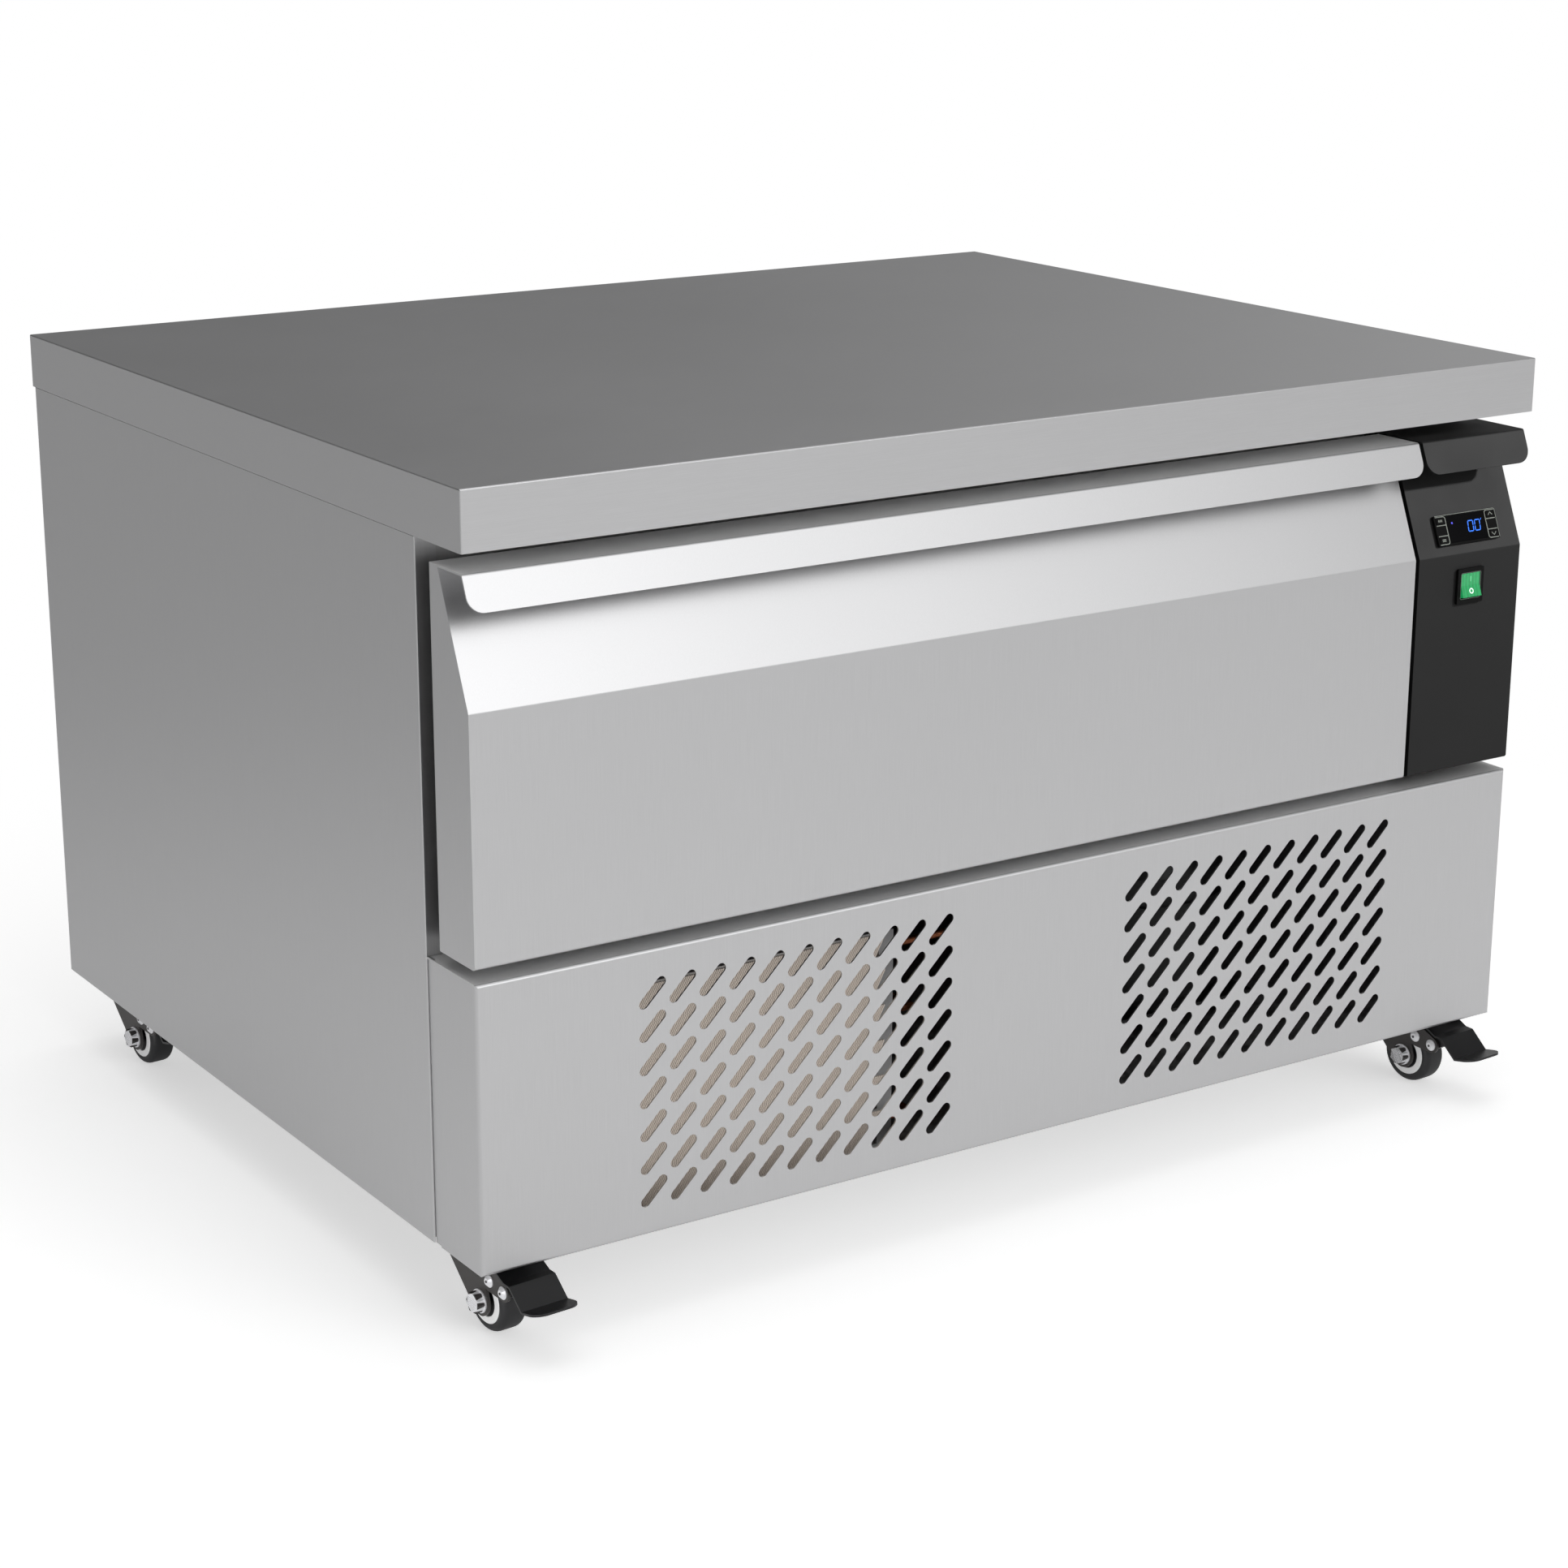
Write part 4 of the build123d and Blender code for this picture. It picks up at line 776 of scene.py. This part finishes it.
class COUNTER_OT_castors(bpy.types.Operator):
    """Build the round-shouldered wheels with their pale rings, and the bright bolts and rivets."""

    bl_idname = "counter.castors"
    bl_label = "Castors"

    def execute(self, context):
        c = context.scene.counter_castor
        heads = seated_heads()
        for place in CASTORS:
            here, trail, height = castor_frame(place)
            axle = here @ Matrix.Translation((trail, 0, height)) @ Matrix.Rotation(math.radians(-90), 4, "X")
            self.wheel(place, c, axle)
            self.fasten(place, c, here, (trail, height), heads)
        return {"FINISHED"}

    def wheel(self, place, c, axle, steps=64):
        half, corner = c.wheel_width / 2, c.shoulder
        hub, rim, face = half - 0.0014, half - 0.0004, half - 0.0003
        side = [(c.wheel_bore, hub), (c.ring_inner - 0.001, hub), (c.ring_inner, rim), (c.ring_outer, rim)]
        side += arc_points((c.wheel_radius - corner, half - corner), corner, 0, 75, 6)[::-1]
        work = bmesh.new()
        turned(work, side + [(r, -z) for r, z in reversed(side)], axle, steps)
        tread = from_bmesh("wheel_" + place + "_tread", work, "tread_black", smooth=50)
        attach(tread, "wheel_" + place)
        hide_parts("castor_wheel_" + place)
        foot, top = face - 0.0006, face + 0.0005
        section = [
            (c.ring_inner, foot), (c.ring_inner + 0.0006, top), (c.ring_outer - 0.0012, top),
            (c.ring_outer, foot),
        ]
        work = bmesh.new()
        for way in (1, -1):
            turned(work, [(r, way * z) for r, z in section], axle, steps)
        ring = from_bmesh("wheel_" + place + "_ring", work, "hub_white", smooth=30)
        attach(ring, "wheel_" + place)

    def fasten(self, place, c, here, axle, heads):
        """The rivets, each with a small dark cone as painted shade in its dimple, and the heads of the axle
        bolt, on both plates of a fork.
        """
        pin = here.inverted() @ Vector(joints["castor_" + place + "_brake"]["pos_m"])
        rivets = [(pin.x, pin.z), (c.rivet_reach, c.rivet_lift)]
        rivet, bolt = c.rivet_radius, c.bolt_radius
        kinds = (
            ("_rivets", rivets, "zinc_plated", {
                "Sides": 24, "Radius": rivet, "Tip": rivet * 0.55, "Height": 0.0019,
                "Washer": rivet, "Thick": 0.0006,
            }),
            # Painted shade: a small dark cone on each rivet stands in for the shade in its dimple.
            ("_dimples", rivets, "rivet_dimple", {
                "Sides": 16, "Radius": 0.0012, "Tip": 0.0009, "Height": 0.0023,
                "Washer": 0.0014, "Thick": 0.0006,
            }),
            ("_bolt", [axle], "zinc_plated", {
                "Sides": 6, "Radius": bolt, "Tip": bolt * 0.93, "Height": 0.0052,
                "Washer": bolt * 1.1, "Thick": 0.0008,
            }),
        )
        for kind, spots, finish, sizes in kinds:
            places, facings = [], []
            for way in (1, -1):
                for x, z in spots:
                    places.append(here @ Vector((x, way * c.fork_outside, z)))
                    facings.append(here.to_3x3() @ Vector((0, way, 0)))
            made = points_object("castor_" + place + kind, places, facings)
            heads.make(made, finish, **sizes)
            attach(made, "castor_" + place)


class COUNTER_OT_fasteners(bpy.types.Operator):
    """Place the screws of the rear panel and the bolts of the castor plates."""

    bl_idname = "counter.fasteners"
    bl_label = "Fasteners"

    def execute(self, context):
        heads = seated_heads()
        low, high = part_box("rear_panel")
        inset, y = 0.009, high[1]
        places = []
        for x in (low[0] + inset, high[0] - inset):
            for share in (0.06, 0.35, 0.65, 0.94):
                places.append((x, y, low[2] + share * (high[2] - low[2])))
        for share in (0.25, 0.5, 0.75):
            x = low[0] + share * (high[0] - low[0])
            places += [(x, y, low[2] + inset), (x, y, high[2] - inset)]
        made = points_object("rear_panel_screws", places, [(0, 1, 0)] * len(places))
        heads.make(
            made, "zinc_plated", Sides=20, Radius=0.0036, Tip=0.0022, Height=0.0012, Washer=0.0042,
            Thick=0.0005,
        )
        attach(made, "cabinet")
        reach, plate = 0.0225, 0.0025
        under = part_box("castor_plates")[1][2] - plate
        places = []
        for place in CASTORS:
            here = castor_frame(place)[0]
            places += [here @ Vector((x, y, under)) for x in (-reach, reach) for y in (-reach, reach)]
        made = points_object("castor_plate_bolts", places, [(0, 0, -1)] * len(places))
        heads.make(
            made, "castor_black", Sides=6, Radius=0.0050, Tip=0.0046, Height=0.0034, Washer=0.0055,
            Thick=0.0006,
        )
        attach(made, "cabinet")
        return {"FINISHED"}


SEGMENTS = {
    "0": "abcdef", "1": "bc", "2": "abged", "3": "abgcd", "4": "fgbc",
    "5": "afgcd", "6": "afgedc", "7": "abc", "8": "abcdefg", "9": "abfgcd",
}


def digit_bars(width, height, thick):
    """The seven bars of a digit: middle, length and whether it stands upright."""
    x, y = (width - thick) / 2, (height - thick) / 2
    wide, tall = width - thick, y
    return {
        "a": (0, y, wide, False), "g": (0, 0, wide, False), "d": (0, -y, wide, False),
        "f": (-x, y / 2, tall, True), "b": (x, y / 2, tall, True),
        "e": (-x, -y / 2, tall, True), "c": (x, -y / 2, tall, True),
    }


class COUNTER_OT_controller_face(bpy.types.Operator):
    """Draw the lit digits, the key frames and their plain marks."""

    bl_idname = "counter.controller_face"
    bl_label = "Controller face"

    def execute(self, context):
        c = context.scene.counter_control
        low, high = box_corners("controller_lens")
        turn = Matrix.Rotation(math.radians(90) - c.slope, 4, "X")
        on_lens = Matrix.Translation((low + high) / 2) @ turn @ Matrix.Translation((0, 0, 0.0005))
        self.digits(c, on_lens @ Matrix.Translation((0, 0.0006, 0)))
        work = bmesh.new()
        dot = arc_points(centre=(-0.0140, 0.0047), radius=0.0008, start=0, end=337.5, steps=15)
        prism(work, dot, c.ink, on_lens)
        self.keep(work, "display_dot", "dot_violet")
        self.frames(on_lens, c.line)
        for name, way in (("key_up", 1), ("key_down", -1)):
            tip, base, half = way * 0.0013, way * -0.0009, 0.0021
            self.mark(name, [ribbon([(-half, base), (0, tip), (half, base)], 0.0006)], turn, c.ink)
        bars = [rounded(0.0008, 0.0018, 0.0003, 2, (x, 0)) for x in (-0.0014, 0, 0.0014)]
        self.mark("key_left_upper", bars, turn, c.ink)
        bars = [rounded(0.0036, 0.0006, 0.0002, 2, (0, y)) for y in (-0.0006, 0.0006)]
        self.mark("key_left_lower", bars, turn, c.ink)
        return {"FINISHED"}

    def digits(self, c, matrix):
        """The lit figures, counted back from the last one's place, and the short stroke beside them."""
        work = bmesh.new()
        step = c.digit_width * 1.19
        start = c.digit_end - step * (len(c.digits) - 1)
        bars = digit_bars(c.digit_width, c.digit_height, c.digit_line)
        for index, figure in enumerate(c.digits):
            for segment in SEGMENTS.get(figure, ""):
                self.bar(work, matrix, start + index * step, c, *bars[segment])
        prism(work, ribbon([(0.0148, 0.0034), (0.0156, 0.0047)], 0.0005), c.ink, matrix)
        self.keep(work, "display_digits", "digit_blue")

    def bar(self, work, matrix, shift, c, x, y, length, upright):
        """One bar with pointed ends, leaning with its digit."""
        gap, lean = 0.00012, math.tan(math.radians(5))
        long, thick = length / 2 - gap, c.digit_line / 2
        outline = [
            (-long, 0), (-long + thick, -thick), (long - thick, -thick), (long, 0), (long - thick, thick),
            (-long + thick, thick),
        ]
        if upright:
            outline = [(-b, a) for a, b in outline]
        prism(work, [(shift + x + a + lean * (y + b), y + b) for a, b in outline], c.ink, matrix)

    def keep(self, work, name, finish, body="cabinet", slot="display_window"):
        made = from_bmesh(name, work, finish)
        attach(made, body)

    def frames(self, on_lens, line):
        """Pale lines: a bracket round each pair of keys and two bars across it, which are print, and a
        painted highlight along the bezel's top and right edges.
        """
        work = bmesh.new()
        face, thick = on_lens @ Matrix.Translation((0, 0, 0.00002)), 0.00008
        top, bar, inner, outer, corner = 0.0104, 0.0040, 0.0200, 0.0296, 0.0018
        for way in (-1, 1):
            bend = [(inner + x, top - corner + y) for x, y in arc_points((corner, 0), corner, 90, 180, 5)]
            half = [(outer, top), *bend]
            bracket = half + [(x, -y) for x, y in reversed(half)]
            prism(work, ribbon([(way * x, y) for x, y in bracket], line), thick, face)
            for y in (-bar, bar):
                prism(work, ribbon([(way * inner, y), (way * outer, y)], line), thick, face)
        # Painted highlight: a thin pale line along the bezel's top and right edges, where they would catch
        # the light.
        bend = arc_points((0.0292, 0.0099), 0.0014, 0, 90, 4)
        edge = [(-0.0300, 0.0113), *reversed(bend), (0.0306, -0.0105)]
        prism(work, ribbon(edge, line * 0.6), thick, face)
        self.keep(work, "controller_lines", "mark_grey", slot="black_plastic")

    def mark(self, key, outlines, turn, ink):
        """Plain marks on a key, which move with it."""
        low, high = box_corners(key)
        on_key = Matrix.Translation((low + high) / 2) @ turn @ Matrix.Translation((0, 0, 0.0007))
        work = bmesh.new()
        for outline in outlines:
            prism(work, outline, ink, on_key)
        self.keep(work, key + "_mark", "mark_grey", body=key, slot="black_plastic")


class COUNTER_OT_rocker_marks(bpy.types.Operator):
    """Put the line and the ring on the halves of the rocker, and a painted highlight round its window."""

    bl_idname = "counter.rocker_marks"
    bl_label = "Rocker marks"

    def execute(self, context):
        tilt = context.scene.counter_control.tilt
        anchor = Vector(joints["switch_rock"]["pos_m"])
        rocker = Matrix.Translation(anchor) @ Matrix.Rotation(-tilt, 4, "X")
        dip, half, thick = 0.0014, 0.0089, 0.00008
        lean = math.atan2(dip, half)
        out, off = 0.0039, 0.0045
        upper, lower = [
            rocker @ Matrix.Translation((0, -out, way * off))
            @ Matrix.Rotation(math.radians(90) + way * lean, 4, "X") for way in (1, -1)
        ]
        line, ring = bmesh.new(), bmesh.new()
        prism(line, rounded(0.0009, 0.0040, 0.0004, 3), thick, upper)
        inner, outer = 0.0013, 0.0021
        turned(ring, [(inner, 0), (outer, 0), (outer, thick), (inner, thick)], lower, steps=24)
        for name, work, finish in (("rocker_line", line, "mark_dim"), ("rocker_ring", ring, "mark_lit")):
            made = from_bmesh(name, work, finish)
            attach(made, "rocker")
        self.rim()
        return {"FINISHED"}

    def rim(self):
        """A painted highlight: a pale grey ring round the window that the rocker sits in, which stands in for
        its lit edge.
        """
        low, high = box_corners("switch_rocker")
        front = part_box("switch_housing")[0][1]
        upright = Matrix.Rotation(math.radians(90), 4, "X")
        face = Matrix.Translation(((low.x + high.x) / 2, front, (low.z + high.z) / 2)) @ upright
        gap, line, thick = 0.0012, 0.0005, 0.0001
        edge = rounded(high.x - low.x + gap, high.z - low.z + gap, gap)
        work = bmesh.new()
        prism(work, ribbon([*edge, edge[0]], line), thick, face)
        made = from_bmesh("switch_rim", work, "rim_grey")
        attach(made, "cabinet")


class COUNTER_OT_cooling_fins(bpy.types.Operator):
    """Fill the condenser with its fine fins."""

    bl_idname = "counter.cooling_fins"
    bl_label = "Cooling fins"

    def execute(self, context):
        c = context.scene.counter_cooling
        low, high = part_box("condenser_tubes")
        pitch = (high[2] - low[2] - c.tube) / (c.passes - 1)
        count = int((high[0] - low[0] - 2 * c.header) / c.fin_pitch)
        x, y, z = low[0] + c.header + c.fin_pitch / 2, (low[1] + high[1]) / 2, low[2] + c.tube / 2
        rows = [(x, y, z + (i + 0.5) * pitch) for i in range(c.passes - 1)]
        made = points_object("condenser_fine_fins", rows)
        leaning_fins().make(
            made, "combed_fins", Count=count, Pitch=c.fin_pitch, Share=c.share, Rise=pitch / math.cos(c.lean),
            Depth=high[1] - low[1] + c.proud, Lean=c.lean,
        )
        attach(made, "cabinet")
        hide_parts("condenser_fins")
        return {"FINISHED"}


class COUNTER_OT_stage(bpy.types.Operator):
    """Set up the camera, the floor, the surroundings and the lights."""

    bl_idname = "counter.stage"
    bl_label = "Stage"

    def execute(self, context):
        s = context.scene.counter_stage
        self.camera(context, s)
        self.surroundings(context.scene, s)
        if s.floor:
            self.floor()
        self.lamps(s)
        context.scene.view_settings.view_transform = "Standard"
        return {"FINISHED"}

    def camera(self, context, s):
        data = bpy.data.cameras.new("camera")
        data.sensor_width = 36
        data.lens = s.lens
        data.clip_end = 60
        camera = bpy.data.objects.new("camera", data)
        context.scene.collection.objects.link(camera)
        turn = Matrix.Rotation(-s.turn, 4, "Z") @ Matrix.Rotation(math.radians(90) - s.pitch, 4, "X")
        eye = Vector(s.eye) + Vector((0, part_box("worktop_skin")[0][1], 0))
        camera.matrix_world = Matrix.Translation(eye) @ turn @ Matrix.Rotation(s.roll, 4, "Z")
        context.scene.camera = camera

    def lamps(self, s):
        """A soft lamp above, and others that each light some pieces alone."""
        self.lamp("overhead", s.overhead, (-0.2, 0.1, 2.6), target=(0.0, 0.0, 0.3), size=(2.4, 2.4))
        low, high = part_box("lower_panel")
        behind, middle = low[1] + 0.004, (low[2] + high[2]) / 2
        fins, shroud = bpy.data.objects["condenser_fine_fins"], nodes["fan_shroud"]
        for name, x, piece in (("bay_left", low[0] * 0.45, fins), ("bay_right", high[0] * 0.45, shroud)):
            self.lamp(
                name, s.bay, (x, behind, middle), target=(x, 0.0, middle), size=(0.36, 0.16),
                lit=[piece, nodes["base_tray"]],
            )
        castors = [piece for piece in bpy.data.objects if piece.name.startswith(("castor", "wheel"))]
        self.lamp(
            "low_left", s.low_left, (-1.7, -0.9, 0.30), target=(-0.3, -0.1, 0.03), size=(0.8, 0.3),
            lit=castors,
        )
        self.lamp(
            "cover_key", s.cover_key, (1.62, -1.47, 1.20), target=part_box("control_cover")[0],
            size=(0.08, 0.08), lit=[nodes["control_cover"]],
        )

    def lamp(self, name, power, place, target, size, lit=()):
        """A rectangular lamp. One that lights some pieces alone is out of the camera's sight."""
        data = bpy.data.lights.new(name, "AREA")
        data.shape = "RECTANGLE"
        data.size, data.size_y = size
        data.energy = power
        lamp = bpy.data.objects.new(name, data)
        bpy.context.scene.collection.objects.link(lamp)
        aim = (Vector(target) - Vector(place)).to_track_quat("-Z", "Y")
        lamp.matrix_world = Matrix.Translation(place) @ aim.to_matrix().to_4x4()
        if lit:
            lamp.visible_camera = False
            group = bpy.data.collections.new(name + "_lit")
            for piece in lit:
                group.objects.link(piece)
            lamp.light_linking.receiver_collection = group

    def surroundings(self, scene, s):
        """White to the camera. To the object a dim room with a soft glow in front and one on the right."""
        scene.world = bpy.data.worlds.new("studio")
        scene.world.use_nodes = True
        room = Sheet(scene.world.node_tree)
        here = room.node("ShaderNodeTexCoord", output="Generated")
        height = room.node("ShaderNodeSeparateXYZ", [here], output=2)
        greys = [(0.0, 0.50), (0.50, 0.50), (0.53, 0.12), (0.62, 0.05), (0.80, 0.12), (1.0, 0.80)]
        stops = [(place, (grey, grey, grey, 1.0)) for place, grey in greys]
        base = room.node("ShaderNodeValToRGB", [height * 0.5 + 0.5], stops=stops)
        front = self.lobe(room, here, azimuth=19, elevation=27, sharpness=17.0)
        side = self.lobe(room, here, azimuth=116, elevation=8, sharpness=12.0)
        studio = room.node("ShaderNodeBackground", [front * s.front_glow + side * s.side_glow + base, 1.0])
        white = room.node("ShaderNodeBackground", [WHITE, 1.0])
        seen = room.node("ShaderNodeLightPath", output="Is Camera Ray")
        through = room.node("ShaderNodeLightPath", output="Is Transmission Ray")
        open_view = room.node("ShaderNodeMath", [seen, through], operation="MAXIMUM")
        room.end("ShaderNodeOutputWorld", room.node("ShaderNodeMixShader", [open_view, studio, white]))

    def lobe(self, room, here, azimuth, elevation, sharpness):
        """A soft glow round a direction: its azimuth goes from the front to the right, in degrees."""
        turn, rise = math.radians(azimuth), math.radians(elevation)
        aim = (math.sin(turn) * math.cos(rise), -math.cos(turn) * math.cos(rise), math.sin(rise))
        near = room.node("ShaderNodeMath", [room.along(here, aim), 0.0], operation="MAXIMUM")
        return near ** sharpness

    def floor(self):
        """A pale floor with the object's shadow. To the camera it turns plain white further out.

        To the object it is painted darker further left and behind: painted shade, which stands in for light
        falling off there.
        """
        work = bmesh.new()
        bmesh.ops.create_grid(work, x_segments=8, y_segments=8, size=6.0)
        material = bpy.data.materials.new("floor_pale")
        material.use_nodes = True
        paint = Sheet(material.node_tree)
        here = paint.node("ShaderNodeTexCoord", output="Object")
        left_and_back = (-0.55, 0.83, 0.0)
        # Painted shade: the floor is darker further left and behind, as the object sees it.
        dim = paint.fade(paint.along(here, left_and_back), start=0.2, end=1.6, first=0.90, last=0.50)
        grey = paint.node("ShaderNodeCombineColor", [dim, dim, dim])
        plain = self.glowing(paint, grey, grey, 0.25)
        near = self.glowing(paint, (0.80, 0.80, 0.80, 1.0), WHITE, 0.55)
        white = paint.node("ShaderNodeEmission", [WHITE, 1.0])
        reach = paint.node("ShaderNodeVectorMath", [here], output="Value", operation="LENGTH")
        far = paint.fade(reach, start=0.65, end=1.15, first=0.0, last=1.0)
        shown = paint.node("ShaderNodeMixShader", [far, near, white])
        seen = paint.node("ShaderNodeLightPath", output="Is Camera Ray")
        paint.end("ShaderNodeOutputMaterial", paint.node("ShaderNodeMixShader", [seen, plain, shown]))
        from_bmesh("floor", work, "floor_pale")

    def glowing(self, paint, colour, light, strength):
        """A matt surface that also gives off a little light."""
        matt = paint.node("ShaderNodeBsdfDiffuse", [colour])
        return paint.node("ShaderNodeAddShader", [matt, paint.node("ShaderNodeEmission", [light, strength])])


SETTINGS = {
    "counter_finish": FinishSettings,
    "counter_panel": PanelSettings,
    "counter_castor": CastorSettings,
    "counter_control": ControlSettings,
    "counter_cooling": CoolingSettings,
    "counter_stage": StageSettings,
}
OPERATORS = (
    COUNTER_OT_finishes,
    COUNTER_OT_slotted_panel,
    COUNTER_OT_castors,
    COUNTER_OT_fasteners,
    COUNTER_OT_controller_face,
    COUNTER_OT_rocker_marks,
    COUNTER_OT_cooling_fins,
    COUNTER_OT_stage,
)


class COUNTER_PT_sidebar(bpy.types.Panel):
    """The counter's settings and the operators that use them."""

    bl_idname = "COUNTER_PT_sidebar"
    bl_label = "Refrigerated counter"
    bl_space_type = "VIEW_3D"
    bl_region_type = "UI"
    bl_category = "Counter"

    def draw(self, context):
        for operator in OPERATORS:
            self.layout.operator(operator.bl_idname)
        for name, settings in SETTINGS.items():
            box = self.layout.box()
            box.label(text=settings.__doc__)
            for prop in settings.__annotations__:
                box.prop(getattr(context.scene, name), prop)


def register():
    for cls in (*SETTINGS.values(), *OPERATORS, COUNTER_PT_sidebar):
        bpy.utils.register_class(cls)
    for name, settings in SETTINGS.items():
        setattr(bpy.types.Scene, name, PointerProperty(type=settings))


def unregister():
    for name in SETTINGS:
        delattr(bpy.types.Scene, name)
    for cls in (COUNTER_PT_sidebar, *reversed(OPERATORS), *reversed(SETTINGS.values())):
        bpy.utils.unregister_class(cls)


def main():
    register()
    for operator in OPERATORS:
        area, name = operator.bl_idname.split(".")
        getattr(getattr(bpy.ops, area), name)()


if __name__ == "__main__":
    main()
